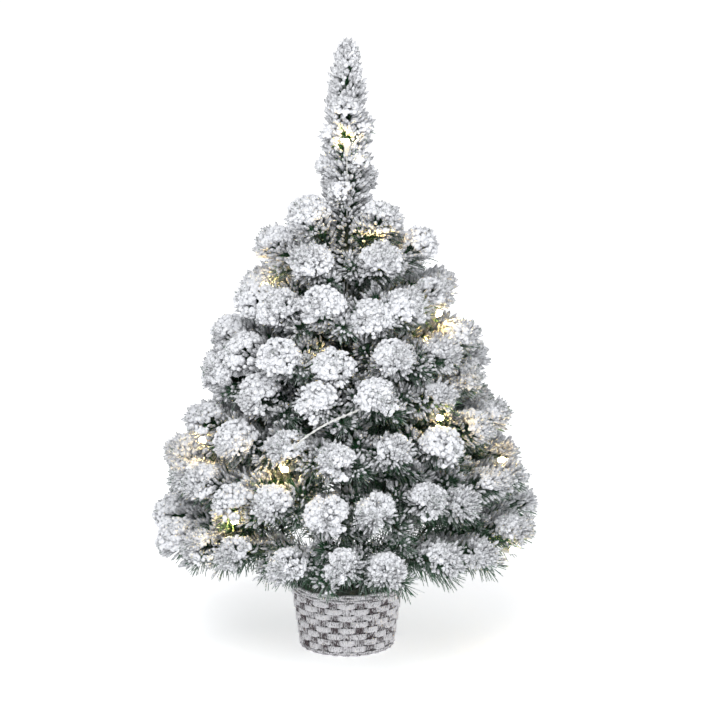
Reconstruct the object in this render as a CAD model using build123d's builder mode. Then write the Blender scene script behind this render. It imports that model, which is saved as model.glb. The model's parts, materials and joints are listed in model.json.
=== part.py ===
from build123d import *
from collections import namedtuple
import math
import os

os.makedirs("parts", exist_ok=True)

# Artificial tabletop tree in a woven basket. Millimetres and degrees, +Z up.
# The origin is the centre of the basket's underside; -Y is the front.

# ---------------------------------------------------------------- basket
BASKET_HEIGHT = 65.0
BASKET_BOTTOM_R = 46.5
BASKET_TOP_R = 56.0
BASE_THICKNESS = 3.0
FOOT_HEIGHT = 4.0
FOOT_WIDTH = 4.1
RIM_HEIGHT = 8.0
RIM_WIDTH = 4.6
STAKE_COUNT = 24
STAKE_WIDTH_SHARE = 0.66
STAKE_THICKNESS = 1.0
STAKE_INSET = 0.5
BAND_ROWS = 8
BAND_THICKNESS = 0.8
BAND_GAP = 0.9
BAND_SLACK = 0.06
WEAVE_CLEARANCE = 0.15
LINER_WALL = 0.8
LINER_TOP_Z = 58.0
BALLAST_TOP_Z = 56.0
SEAT_GAP = 0.1

# ---------------------------------------------------------------- trunk and light string
POLE_R = 4.0
POLE_FOOT_Z = 14.0
POLE_TOP_Z = 425.0
TAPE_THICKNESS = 2.4
TAPE_TOP_Z = 420.0
BINDING_WIRE = 1.5
BINDING_HEIGHT = 5.0
CABLE_R = 0.9
CABLE_CLEARANCE = 0.55
CABLE_STEP_Z = 38.0
CABLE_TURN = 26.0
CABLE_START_BEARING = 78.0
CABLE_SLOT = 54.0
CABLE_RISE = 9.0
CABLE_UNDER = 7.5
CABLE_SWING_R = 2.6
CABLE_SWING_BEARING = 24.0
CABLE_SWING_Z = 16.0
CABLE_CLIMB_Z = 30.0
BEND_SHARE = 0.45

# ---------------------------------------------------------------- branches
HINGE_GAP = 3.5
HINGE_R = POLE_R + TAPE_THICKNESS + 2 * SEAT_GAP + BINDING_WIRE + HINGE_GAP
STEM_R = 1.8
FOLD_R = 2.1
TWIG_R = 1.5
INNER_FORK = 0.30
OUTER_FORK = 0.44
WIDE_TWIG = 20.0
BUSH_START = 0.20
BUSH_CAP = 17.0
LEADER_FOOT_Z = 426.0
LEADER_TIP_Z = 605.0
LEADER_R = 16.0
LEADER_TIP_R = 8.0

# One tier of branches: root_z is the height at the trunk, rise the slope of the stems, reach the
# distance from the trunk's axis to the twig ends, spread the twigs' bearings about the stem.
Tier = namedtuple("Tier", "name root_z rise reach branches bearing spread bush_r")
TIERS = (
    Tier("tier1", 98.0, 9.5, 183.0, 5, -84.0, (-27.0, -9.0, 9.0, 27.0), 15.0),
    Tier("tier2", 146.0, 12.5, 171.0, 5, -125.0, (-27.0, -9.0, 9.0, 27.0), 15.0),
    Tier("tier3", 190.0, 17.0, 150.0, 5, -93.0, (-26.0, -1.0, 23.0), 15.0),
    Tier("tier4", 232.0, 22.0, 135.0, 4, -75.0, (-30.0, 0.0, 29.0), 14.5),
    Tier("tier5", 262.0, 26.0, 121.0, 4, -126.0, (-30.0, 1.0, 30.0), 14.0),
    Tier("tier6", 307.0, 32.0, 101.0, 3, -61.0, (-45.0, -15.0, 15.0, 45.0), 14.0),
)
CROWN_TIERS = (
    Tier("crown_low", 355.0, 39.0, 80.0, 6, -62.0, (0.0,), 13.5),
    Tier("crown_high", 388.0, 56.0, 50.0, 3, -36.0, (0.0,), 12.5),
)
# Small unevenness of hand-bent twigs, taken in turn round the tree.
SWAY = (0.0, 1.5, -1.0, 2.0, -1.5, 0.5, -2.0)
LIFT = (0.0, 2.0, -1.5, 1.0, -1.0, 2.5, -0.5, 1.5, -2.0)
STRETCH = (0.0, 3.0, -4.0, 1.0, -2.0, 2.0, -5.0, 4.0)
TIER_SKIP = 5

# ---------------------------------------------------------------- lamps
BULB_R = 2.5
BULB_LENGTH = 6.0
HOLDER_R = 3.2
HOLDER_LENGTH = 11.0
LAMP_GAP = 0.9
LEAD_INNER_R = 24.0
LEAD_SHARE = 0.1
TIP_SETBACK = 15.0
DEEP_SETBACK = 42.0
ABOVE = 1.0
BELOW = -1.0

# Lamps of one branch: (tier, branch number) -> (twig number, side of the twig, setback from its end)
LAMPS = {
    ("tier1", 2): ((2, BELOW, TIP_SETBACK),),
    ("tier1", 4): ((3, ABOVE, TIP_SETBACK),),
    ("tier2", 1): ((2, BELOW, TIP_SETBACK),),
    ("tier2", 3): ((1, ABOVE, TIP_SETBACK),),
    ("tier2", 4): ((1, ABOVE, TIP_SETBACK), (4, ABOVE, TIP_SETBACK)),
    ("tier2", 5): ((2, ABOVE, TIP_SETBACK),),
    ("tier3", 1): ((1, BELOW, TIP_SETBACK),),
    ("tier3", 4): ((3, ABOVE, TIP_SETBACK),),
    ("tier3", 5): ((2, BELOW, TIP_SETBACK),),
    ("tier4", 1): ((2, BELOW, TIP_SETBACK), (3, BELOW, TIP_SETBACK)),
    ("tier4", 3): ((1, ABOVE, TIP_SETBACK), (3, ABOVE, TIP_SETBACK)),
    ("tier5", 1): ((3, ABOVE, DEEP_SETBACK),),
    ("tier5", 2): ((3, ABOVE, DEEP_SETBACK),),
    ("tier6", 1): ((4, BELOW, TIP_SETBACK),),
    ("tier6", 3): ((3, ABOVE, TIP_SETBACK),),
}
CROWN_LAMP_TWIG = 1
LEADER_LAMP_Z = 507.0
LEADER_LEAD_FOOT = 2.0
LEADER_LEAD_BEND = 34.0
BULB_ROUNDING = 0.9

# ---------------------------------------------------------------- battery case
CELL_R = 5.25
CELL_LENGTH = 44.5
CELL_GAP = 0.4
CASE_WALL = 1.5
CASE_CORNER = 2.0
CONTACT_SPACE = 2.4
CONTACT_PLATE = 0.5
CONTACT_WIDTH = 8.4
CONTACT_HEIGHT = 17.8
CONTACT_CORNER = 1.0
CELL_NUB_R = 1.9
CELL_NUB = 1.0
CASE_TRUNK_GAP = 1.2
CASE_FOOT_GAP = 0.2
LID_GAP = 0.15
LID_THICKNESS = 1.5
LID_FOOT = 0.8
SWITCH_X = 8.0
SWITCH_TRAVEL = 4.0
SWITCH_CAP = 5.0
SWITCH_NECK = 2.6
SWITCH_GAP = 0.25


# ================================================================ shared geometry
def wall_r(z):
    """Outer radius of the basket at height z."""
    return BASKET_BOTTOM_R + (BASKET_TOP_R - BASKET_BOTTOM_R) * z / BASKET_HEIGHT


def on_bearing(radius, bearing, z):
    """Point at a radius and bearing round the trunk."""
    angle = math.radians(bearing)
    return Vector(radius * math.cos(angle), radius * math.sin(angle), z)


def side_of(direction, side):
    """Unit vector square to a twig, upward for side 1 and downward for side -1."""
    up = Vector(0, 0, 1) - direction * direction.Z
    return up.normalized() * side


def finish(name, builder):
    """Label a finished sub-part and write its STEP file."""
    builder.part.label = name
    export_step(builder.part, f"parts/{name}.step")


def bend_radii(points):
    """Largest tangent arcs that the runs beside each corner leave room for."""
    radii = []
    for before, corner, after in zip(points, points[1:], points[2:]):
        run_in = corner - before
        run_out = after - corner
        half_turn = math.radians(run_in.get_angle(run_out)) / 2
        radii.append(BEND_SHARE * min(run_in.length, run_out.length) / math.tan(half_turn))
    return radii


def tube(points, radius):
    """Round lead along straight runs joined by tangent arcs, inside the current part."""
    with BuildLine() as route:
        if len(points) == 2:
            Line(*points)
        else:
            FilletPolyline(*points, radius=bend_radii(points))
    start = Plane(points[0], z_dir=points[1] - points[0])
    with BuildSketch(start) as section:
        Circle(radius)
    sweep(section.sketch, path=route.wires()[0])


def bush(start, end, foot_r, bush_r, bush_start=BUSH_START, cap=BUSH_CAP):
    """Twig that widens into its needles and ends in a rounded tip, inside the current part."""
    axis = end - start
    length = axis.length
    tip_r = (cap**2 + bush_r**2) / (2 * cap)
    with BuildSketch(Plane(start, x_dir=axis, z_dir=axis.cross(Vector(0, 0, 1)))) as outline:
        with BuildLine():
            Polyline(
                (length, 0),
                (0, 0),
                (0, foot_r),
                (bush_start * length, foot_r),
                (length - cap, bush_r),
            )
            CenterArc((length - tip_r, 0), tip_r, 0, math.degrees(math.atan2(bush_r, tip_r - cap)))
        make_face()
    revolve(outline.sketch, axis=Axis(start, axis))


# A twig: where it leaves the stem, where it ends, and the size of its needles.
Twig = namedtuple("Twig", "start end bush_r")


def stem_point(tier, bearing, radius):
    """Point on a branch's stem at a distance from the trunk's axis."""
    height = tier.root_z + (radius - HINGE_R) * math.tan(math.radians(tier.rise))
    return on_bearing(radius, bearing, height)


def branch_bearing(tier, number):
    """Bearing of a branch; numbers start at 1."""
    return tier.bearing + (number - 1) * 360.0 / tier.branches


def twigs_of(tier, number):
    """The twigs of one branch, with the unevenness that falls to each."""
    bearing = branch_bearing(tier, number)
    found = []
    for place, offset in enumerate(tier.spread):
        turn = TIERS.index(tier) * TIER_SKIP + (number - 1) * len(tier.spread) + place
        fork = INNER_FORK if abs(offset) > WIDE_TWIG else OUTER_FORK
        reach = tier.reach + STRETCH[turn % len(STRETCH)]
        rise = tier.rise + LIFT[turn % len(LIFT)]
        end_z = tier.root_z + (reach - HINGE_R) * math.tan(math.radians(rise))
        end = on_bearing(reach, bearing + offset + SWAY[turn % len(SWAY)], end_z)
        found.append(Twig(stem_point(tier, bearing, fork * tier.reach), end, tier.bush_r))
    return found


def crown_twig(tier, number):
    """One fixed twig of the crown, straight out of the trunk's tape."""
    bearing = tier.bearing + (number - 1) * 360.0 / tier.branches
    start = on_bearing(HINGE_R - STEM_R, bearing, tier.root_z)
    rise = math.radians(tier.rise)
    end = on_bearing(tier.reach, bearing, tier.root_z + (tier.reach - HINGE_R) * math.tan(rise))
    return Twig(start, end, tier.bush_r)


def lamp(twig, side, setback, inner_points):
    """LED in its holder beside a twig, with its lead back along the twig, inside the current part."""
    axis = twig.end - twig.start
    length = axis.length
    direction = axis.normalized()
    beside = side_of(direction, side)
    slope = (twig.bush_r - TWIG_R) / (length * (1 - BUSH_START) - BUSH_CAP)
    front = length - setback
    bush_here = min(TWIG_R + slope * (front - BUSH_START * length), twig.bush_r)
    lead_start = twig.start + direction * (LEAD_SHARE * length) + beside * (STEM_R + LAMP_GAP + CABLE_R)
    lamp_front = twig.start + direction * front + beside * (bush_here + LAMP_GAP + HOLDER_R)
    along = (lamp_front - lead_start).normalized()
    holder_foot = lamp_front - along * (BULB_LENGTH + HOLDER_LENGTH)
    tube([*inner_points, lead_start, holder_foot], CABLE_R)
    with BuildSketch(Plane(holder_foot, x_dir=along, z_dir=along.cross(beside))) as outline:
        with BuildLine():
            Polyline(
                (HOLDER_LENGTH + BULB_LENGTH, 0),
                (0, 0),
                (0, HOLDER_R - 1),
                (1, HOLDER_R),
                (HOLDER_LENGTH, HOLDER_R),
                (HOLDER_LENGTH, BULB_R),
                (HOLDER_LENGTH + BULB_LENGTH - BULB_R, BULB_R),
            )
            RadiusArc(
                (HOLDER_LENGTH + BULB_LENGTH - BULB_R, BULB_R),
                (HOLDER_LENGTH + BULB_LENGTH, 0),
                BULB_R,
            )
        make_face()
    revolve(outline.sketch, axis=Axis(holder_foot, along))


# ================================================================ basket
WEAVE_INSET = BAND_THICKNESS + STAKE_THICKNESS / 2 + 2 * WEAVE_CLEARANCE + STAKE_INSET
WEAVE_BOTTOM_Z = FOOT_HEIGHT + WEAVE_CLEARANCE
WEAVE_TOP_Z = BASKET_HEIGHT - RIM_HEIGHT
BAND_PITCH = (WEAVE_TOP_Z - WEAVE_BOTTOM_Z) / BAND_ROWS
BAND_HEIGHT = BAND_PITCH - BAND_GAP
WALL_SLOPE = (BASKET_TOP_R - BASKET_BOTTOM_R) / BASKET_HEIGHT
BAND_WAVE = (STAKE_THICKNESS + BAND_THICKNESS) / 2 + WALL_SLOPE * BAND_HEIGHT / 2 + WEAVE_CLEARANCE
LINER_INSET = WEAVE_CLEARANCE + max(
    WEAVE_INSET + BAND_WAVE + BAND_THICKNESS / 2 + WALL_SLOPE * BAND_HEIGHT,
    FOOT_WIDTH + WALL_SLOPE * FOOT_HEIGHT,
    RIM_WIDTH,
)
LINER_FOOT_Z = BASE_THICKNESS + SEAT_GAP

with BuildPart() as basket_base:
    with BuildSketch():
        Circle(BASKET_BOTTOM_R - FOOT_WIDTH - SEAT_GAP)
    extrude(amount=BASE_THICKNESS)
    chamfer(basket_base.edges().group_by(Axis.Z)[-1], 0.4)
finish("basket_base", basket_base)

with BuildPart() as basket_foot:
    with BuildSketch(Plane.XZ):
        with BuildLine():
            Polyline(
                (BASKET_BOTTOM_R - FOOT_WIDTH, 0),
                (BASKET_BOTTOM_R, 0),
                (wall_r(FOOT_HEIGHT), FOOT_HEIGHT),
                (BASKET_BOTTOM_R - FOOT_WIDTH, FOOT_HEIGHT),
                close=True,
            )
        make_face()
    revolve(axis=Axis.Z)
    fillet(basket_foot.edges().group_by(Axis.Z)[0].sort_by(SortBy.RADIUS)[-1], 1.0)
finish("basket_foot", basket_foot)

with BuildPart() as basket_rim:
    with BuildSketch(Plane.XZ):
        with BuildLine():
            Polyline(
                (wall_r(WEAVE_TOP_Z) - RIM_WIDTH, WEAVE_TOP_Z),
                (wall_r(WEAVE_TOP_Z), WEAVE_TOP_Z),
                (BASKET_TOP_R, BASKET_HEIGHT),
                (BASKET_TOP_R - RIM_WIDTH, BASKET_HEIGHT),
                close=True,
            )
        make_face()
    revolve(axis=Axis.Z)
    fillet(basket_rim.edges().group_by(Axis.Z)[-1], 1.6)
finish("basket_rim", basket_rim)

stake_bottom_z = FOOT_HEIGHT + WEAVE_CLEARANCE
stake_top_z = WEAVE_TOP_Z - WEAVE_CLEARANCE
stake_width = STAKE_WIDTH_SHARE * 2 * math.pi * BASKET_BOTTOM_R / STAKE_COUNT
with BuildPart() as basket_stakes:
    with BuildSketch(Plane.XZ.offset(-stake_width / 2)):
        with BuildLine():
            Polyline(
                (wall_r(stake_bottom_z) - WEAVE_INSET - STAKE_THICKNESS / 2, stake_bottom_z),
                (wall_r(stake_bottom_z) - WEAVE_INSET + STAKE_THICKNESS / 2, stake_bottom_z),
                (wall_r(stake_top_z) - WEAVE_INSET + STAKE_THICKNESS / 2, stake_top_z),
                (wall_r(stake_top_z) - WEAVE_INSET - STAKE_THICKNESS / 2, stake_top_z),
                close=True,
            )
        make_face()
    extrude(amount=stake_width)
    one_stake = basket_stakes.part
    spacing = 360 / STAKE_COUNT
    with PolarLocations(0, STAKE_COUNT - 1, start_angle=spacing, angular_range=360 - spacing):
        add(one_stake)
finish("basket_stakes", basket_stakes)


def band_corners(row, mid_r, shift):
    """Corners of one band's wavy outline, outside every second stake and inside the others."""
    half_flat = 180 / STAKE_COUNT * (STAKE_WIDTH_SHARE * BASKET_BOTTOM_R / mid_r + BAND_SLACK)
    corners = []
    for stake in range(STAKE_COUNT):
        outside = 1 if (stake + row) % 2 else -1
        flat_r = (mid_r + outside * BAND_WAVE) / math.cos(math.radians(half_flat)) + shift
        for edge in (-half_flat, half_flat):
            corners.append(on_bearing(flat_r, 360 / STAKE_COUNT * stake + edge, 0))
    return corners


with BuildPart() as basket_bands:
    for row in range(BAND_ROWS):
        band_z = WEAVE_BOTTOM_Z + BAND_GAP / 2 + row * BAND_PITCH
        middle_r = wall_r(band_z + BAND_HEIGHT / 2) - WEAVE_INSET
        with BuildSketch(Plane.XY.offset(band_z)):
            with BuildLine():
                Polyline(*band_corners(row, middle_r, BAND_THICKNESS / 2), close=True)
            make_face()
            with BuildLine():
                Polyline(*band_corners(row, middle_r, -BAND_THICKNESS / 2), close=True)
            make_face(mode=Mode.SUBTRACT)
        extrude(amount=BAND_HEIGHT)
finish("basket_bands", basket_bands)


def cup_r(z):
    """Outer radius of the liner at height z."""
    return wall_r(z) - LINER_INSET


with BuildPart() as basket_liner:
    with BuildSketch(Plane.XZ):
        with BuildLine():
            Polyline(
                (0, LINER_FOOT_Z),
                (cup_r(LINER_FOOT_Z), LINER_FOOT_Z),
                (cup_r(LINER_TOP_Z), LINER_TOP_Z),
                (cup_r(LINER_TOP_Z) - LINER_WALL, LINER_TOP_Z),
                (cup_r(LINER_FOOT_Z + LINER_WALL) - LINER_WALL, LINER_FOOT_Z + LINER_WALL),
                (0, LINER_FOOT_Z + LINER_WALL),
                close=True,
            )
        make_face()
    revolve(axis=Axis.Z)
finish("basket_liner", basket_liner)

ballast_foot_z = LINER_FOOT_Z + LINER_WALL + SEAT_GAP
with BuildPart() as ballast:
    with BuildSketch(Plane.XZ):
        with BuildLine():
            Polyline(
                (0, ballast_foot_z),
                (cup_r(ballast_foot_z) - LINER_WALL - SEAT_GAP, ballast_foot_z),
                (cup_r(BALLAST_TOP_Z) - LINER_WALL - SEAT_GAP, BALLAST_TOP_Z),
                (0, BALLAST_TOP_Z),
                close=True,
            )
        make_face()
    revolve(axis=Axis.Z)
    with BuildSketch(Plane.XY.offset(POLE_FOOT_Z)):
        Circle(POLE_R + SEAT_GAP)
    extrude(amount=BALLAST_TOP_Z - POLE_FOOT_Z, mode=Mode.SUBTRACT)
finish("ballast", ballast)

# ================================================================ trunk
TAPE_R = POLE_R + SEAT_GAP + TAPE_THICKNESS

with BuildPart() as trunk_pole:
    with BuildSketch(Plane.XY.offset(POLE_FOOT_Z + SEAT_GAP)):
        Circle(POLE_R)
    extrude(amount=POLE_TOP_Z - POLE_FOOT_Z - SEAT_GAP)
finish("trunk_pole", trunk_pole)

with BuildPart() as trunk_tape:
    with BuildSketch(Plane.XY.offset(BALLAST_TOP_Z + SEAT_GAP)):
        Circle(TAPE_R)
        Circle(POLE_R + SEAT_GAP, mode=Mode.SUBTRACT)
    extrude(amount=TAPE_TOP_Z - BALLAST_TOP_Z - SEAT_GAP)
finish("trunk_tape", trunk_tape)

CASE_HEIGHT = 4 * CELL_R + CELL_GAP * 3 + 2 * CASE_WALL
CASE_FRONT_Y = TAPE_R + 2 * CABLE_R + CABLE_CLEARANCE + CASE_TRUNK_GAP
CASE_DEPTH = CASE_WALL + 2 * CELL_R + 2 * CELL_GAP
CASE_FOOT_Z = BALLAST_TOP_Z + CASE_FOOT_GAP
CASE_TOP_Z = CASE_FOOT_Z + CASE_HEIGHT
CABLE_LANE_R = TAPE_R + CABLE_CLEARANCE + CABLE_R
CABLE_EXIT_X = -16.0


def cable_bearing(z):
    """Bearing of the light string's cable as it winds slowly up the trunk."""
    return CABLE_START_BEARING + CABLE_TURN * (z - CASE_TOP_Z) / CABLE_STEP_Z


cable_exit = Vector(CABLE_EXIT_X, CASE_FRONT_Y + CASE_DEPTH / 2, CASE_TOP_Z)
cable_bend_z = min(CASE_TOP_Z + CABLE_RISE, TIERS[0].root_z - CABLE_UNDER)
cable_route = [
    cable_exit,
    Vector(cable_exit.X, cable_exit.Y, cable_bend_z),
    on_bearing(
        CABLE_LANE_R + CABLE_SWING_R,
        cable_bearing(CASE_TOP_Z) + CABLE_SWING_BEARING,
        min(CASE_TOP_Z + CABLE_SWING_Z, TIERS[0].root_z - CABLE_CLEARANCE),
    ),
]
climb_z = CASE_TOP_Z + CABLE_CLIMB_Z
while climb_z < TAPE_TOP_Z:
    cable_route.append(on_bearing(CABLE_LANE_R, cable_bearing(climb_z), climb_z))
    climb_z += CABLE_STEP_Z
print("light cable radii", [round(radius, 1) for radius in bend_radii(cable_route)])

with BuildPart() as light_cable:
    tube(cable_route, CABLE_R)
cable_length = light_cable.part.volume / (math.pi * CABLE_R**2)
print("light cable length", round(cable_length, 1))
finish("light_cable", light_cable)

with BuildPart() as branch_bindings:
    for tier in TIERS + CROWN_TIERS:
        binding_z = tier.root_z - BINDING_HEIGHT / 2
        gap_start = cable_bearing(tier.root_z) + CABLE_SLOT / 2
        section = Plane(
            (0, 0, binding_z),
            x_dir=on_bearing(1, gap_start, 0),
            z_dir=on_bearing(1, gap_start - 90, 0),
        )
        with BuildSketch(section):
            with BuildLine():
                Polyline(
                    (TAPE_R + SEAT_GAP, 0),
                    (TAPE_R + SEAT_GAP + BINDING_WIRE, 0),
                    (TAPE_R + SEAT_GAP + BINDING_WIRE, BINDING_HEIGHT),
                    (TAPE_R + SEAT_GAP, BINDING_HEIGHT),
                    close=True,
                )
            make_face()
        revolve(axis=Axis.Z, revolution_arc=360 - CABLE_SLOT)
finish("branch_bindings", branch_bindings)

# ================================================================ branches and their lamps
for tier in TIERS:
    for number in range(1, tier.branches + 1):
        bearing = branch_bearing(tier, number)
        twigs = twigs_of(tier, number)
        root = stem_point(tier, bearing, HINGE_R)
        last_fork = max((twig.start for twig in twigs), key=lambda point: point.Z)
        with BuildPart() as branch:
            with BuildSketch(Plane(root, z_dir=last_fork - root)):
                Circle(STEM_R)
            extrude(amount=(last_fork - root).length + STEM_R)
            with BuildSketch(Plane(root, z_dir=on_bearing(1, bearing + 90, 0))):
                Circle(FOLD_R)
            extrude(amount=FOLD_R, both=True)
            for twig in twigs:
                bush(twig.start, twig.end, TWIG_R, twig.bush_r)
        finish(f"{tier.name}_branch_{number}", branch)

        places = LAMPS.get((tier.name, number), ())
        if not places:
            continue
        with BuildPart() as lamps:
            for twig_number, side, setback in places:
                stem_direction = (last_fork - root).normalized()
                lead_rise = side_of(stem_direction, side) * (STEM_R + LAMP_GAP + CABLE_R)
                inner_end = stem_point(tier, bearing, LEAD_INNER_R) + lead_rise
                lamp(twigs[twig_number - 1], side, setback, [inner_end])
        finish(f"{tier.name}_lamp_{number}", lamps)

# ================================================================ crown and leader
with BuildPart() as crown_tips:
    for tier in CROWN_TIERS:
        for number in range(1, tier.branches + 1):
            twig = crown_twig(tier, number)
            bush(twig.start, twig.end, STEM_R, twig.bush_r)
finish("crown_tips", crown_tips)

with BuildPart() as leader:
    with BuildSketch(Plane.XZ):
        with BuildLine():
            Polyline(
                (0, LEADER_TIP_Z),
                (0, LEADER_FOOT_Z),
                (POLE_R, LEADER_FOOT_Z),
                (LEADER_R, LEADER_FOOT_Z + 3 * LEADER_R),
                (0.9 * LEADER_R, LEADER_LAMP_Z + 1.5 * LEADER_R),
                (LEADER_TIP_R, LEADER_TIP_Z - LEADER_TIP_R),
            )
            CenterArc((0, LEADER_TIP_Z - LEADER_TIP_R), LEADER_TIP_R, 0, 90)
        make_face()
    revolve(axis=Axis.Z)
finish("leader", leader)

with BuildPart() as crown_lamps:
    low_twig = crown_twig(CROWN_TIERS[0], CROWN_LAMP_TWIG)
    lamp(low_twig, ABOVE, TIP_SETBACK, [])
    lamp_y = -(LEADER_R + LAMP_GAP + HOLDER_R)
    lamp_foot = Vector(0, lamp_y, LEADER_LAMP_Z - HOLDER_LENGTH)
    tube(
        [
            Vector(0, -(TAPE_R + LAMP_GAP + 3 * CABLE_R), LEADER_FOOT_Z + LEADER_LEAD_FOOT),
            Vector(0, lamp_y - 1, LEADER_FOOT_Z + LEADER_LEAD_BEND),
            lamp_foot,
        ],
        CABLE_R,
    )
    with BuildSketch(Plane(lamp_foot)):
        Circle(HOLDER_R)
    extrude(amount=HOLDER_LENGTH)
    with BuildSketch(Plane(lamp_foot + Vector(0, 0, HOLDER_LENGTH))):
        Circle(BULB_R)
    extrude(amount=BULB_LENGTH)
    fillet(crown_lamps.edges().group_by(Axis.Z)[-1], BULB_ROUNDING * BULB_R)
finish("crown_lamps", crown_lamps)

# ================================================================ battery case behind the trunk
CASE_LENGTH = CELL_LENGTH + 2 * CONTACT_SPACE + 2 * CASE_WALL
CASE_BACK_Y = CASE_FRONT_Y + CASE_DEPTH

with BuildPart() as battery_case:
    with BuildSketch(Plane.XZ.offset(-CASE_FRONT_Y)):
        with Locations((0, CASE_FOOT_Z + CASE_HEIGHT / 2)):
            RectangleRounded(CASE_LENGTH, CASE_HEIGHT, CASE_CORNER)
    extrude(amount=-CASE_DEPTH)
    with BuildSketch(Plane.XZ.offset(-(CASE_FRONT_Y + CASE_WALL))):
        with Locations((0, CASE_FOOT_Z + CASE_HEIGHT / 2)):
            Rectangle(CASE_LENGTH - 2 * CASE_WALL, CASE_HEIGHT - 2 * CASE_WALL)
    extrude(amount=-CASE_DEPTH, mode=Mode.SUBTRACT)
    with BuildSketch(Plane.XY.offset(CASE_TOP_Z)):
        with Locations((SWITCH_X + SWITCH_TRAVEL / 2, CASE_FRONT_Y + CASE_DEPTH / 2)):
            Rectangle(
                SWITCH_NECK + SWITCH_TRAVEL + 2 * SWITCH_GAP,
                SWITCH_NECK + 2 * SWITCH_GAP,
            )
    extrude(amount=-CASE_WALL, mode=Mode.SUBTRACT)
finish("battery_case", battery_case)

lid_r = LID_THICKNESS / 2
lid_y = CASE_BACK_Y + LID_GAP + lid_r
lid_z = CASE_FOOT_Z + LID_FOOT + lid_r
with BuildPart() as battery_lid:
    with BuildSketch(Plane.YZ.offset(-CASE_LENGTH / 2)):
        with Locations((lid_y, lid_z)):
            Circle(lid_r)
        with Locations((lid_y, (lid_z + CASE_TOP_Z) / 2)):
            Rectangle(LID_THICKNESS, CASE_TOP_Z - lid_z)
    extrude(amount=CASE_LENGTH)
    fillet(battery_lid.edges().filter_by(Axis.Y), CASE_CORNER)
finish("battery_lid", battery_lid)

with BuildPart() as switch_slider:
    with BuildSketch(Plane.XY.offset(CASE_TOP_Z - CASE_WALL + SWITCH_GAP)):
        with Locations((SWITCH_X, CASE_FRONT_Y + CASE_DEPTH / 2)):
            Rectangle(SWITCH_NECK, SWITCH_NECK)
    extrude(amount=CASE_WALL)
    with BuildSketch(Plane.XY.offset(CASE_TOP_Z + SWITCH_GAP)):
        with Locations((SWITCH_X, CASE_FRONT_Y + CASE_DEPTH / 2)):
            Rectangle(SWITCH_CAP, SWITCH_CAP)
    extrude(amount=SWITCH_NECK)
    chamfer(switch_slider.faces().sort_by(Axis.Z)[-1].edges(), 0.5)
finish("switch_slider", switch_slider)

cell_y = CASE_FRONT_Y + CASE_WALL + CELL_GAP + CELL_R
cell_rows = [CASE_FOOT_Z + CASE_WALL + CELL_GAP + CELL_R]
cell_rows.append(cell_rows[0] + 2 * CELL_R + CELL_GAP)
with BuildPart() as battery_cells:
    for cell_z in cell_rows:
        with BuildSketch(Plane.YZ.offset(-CELL_LENGTH / 2)):
            with Locations((cell_y, cell_z)):
                Circle(CELL_R)
        extrude(amount=CELL_LENGTH - CELL_NUB)
        with BuildSketch(Plane.YZ.offset(CELL_LENGTH / 2 - CELL_NUB)):
            with Locations((cell_y, cell_z)):
                Circle(CELL_NUB_R)
        extrude(amount=CELL_NUB)
finish("battery_cells", battery_cells)

with BuildPart() as battery_contacts:
    for wall_x in (-1, 1):
        plate_x = wall_x * (CELL_LENGTH / 2 + CONTACT_SPACE / 2)
        with BuildSketch(Plane.YZ.offset(plate_x - CONTACT_PLATE / 2)):
            with Locations((cell_y, (cell_rows[0] + cell_rows[1]) / 2)):
                RectangleRounded(CONTACT_WIDTH, CONTACT_HEIGHT, CONTACT_CORNER)
        extrude(amount=CONTACT_PLATE)
finish("battery_contacts", battery_contacts)
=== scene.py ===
import json
import math
import random

import bmesh
import bpy
import numpy
from bpy.props import FloatProperty, FloatVectorProperty, IntProperty, PointerProperty
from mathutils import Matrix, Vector, noise


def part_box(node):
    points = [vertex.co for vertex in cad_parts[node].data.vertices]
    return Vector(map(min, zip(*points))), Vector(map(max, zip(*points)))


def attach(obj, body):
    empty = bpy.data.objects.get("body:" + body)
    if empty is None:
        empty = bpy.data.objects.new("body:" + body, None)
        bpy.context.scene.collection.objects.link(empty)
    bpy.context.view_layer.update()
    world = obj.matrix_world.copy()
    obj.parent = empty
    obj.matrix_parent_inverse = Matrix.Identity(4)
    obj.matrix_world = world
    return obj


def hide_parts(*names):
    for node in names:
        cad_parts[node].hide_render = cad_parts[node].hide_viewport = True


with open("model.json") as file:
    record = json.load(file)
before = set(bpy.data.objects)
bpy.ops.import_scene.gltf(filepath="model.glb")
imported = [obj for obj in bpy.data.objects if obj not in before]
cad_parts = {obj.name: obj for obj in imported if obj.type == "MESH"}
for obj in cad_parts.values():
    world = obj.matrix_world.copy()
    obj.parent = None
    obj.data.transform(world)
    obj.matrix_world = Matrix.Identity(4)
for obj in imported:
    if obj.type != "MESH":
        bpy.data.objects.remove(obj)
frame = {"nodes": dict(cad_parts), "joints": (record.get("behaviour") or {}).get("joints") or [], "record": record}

bpy.context.view_layer.update()

bl_info = {
    "name": "Snowy tabletop tree",
    "version": (1, 0, 0),
    "blender": (4, 5, 0),
    "location": "View3D > Sidebar > Tabletop tree",
    "description": "Finishes a flocked tabletop tree with lamps in a woven basket",
    "category": "Add Mesh",
}

MM = 0.001
UP = Vector((0.0, 0.0, 1.0))
NOISE_SEED = 11
noise.seed_set(NOISE_SEED)  # unset, noise vectors start from the clock
JOINTS = {joint["child"]: joint for joint in frame["joints"]}
BODY_NODES = frame["record"]["behaviour"]["bodies"]
BRANCHES = [body for body in BODY_NODES if "_branch_" in body]
LAMP_NODES = [node for node in frame["nodes"] if "lamp" in node]
BODY_OF_NODE = {node: body for body, nodes in BODY_NODES.items() for node in nodes}


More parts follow.
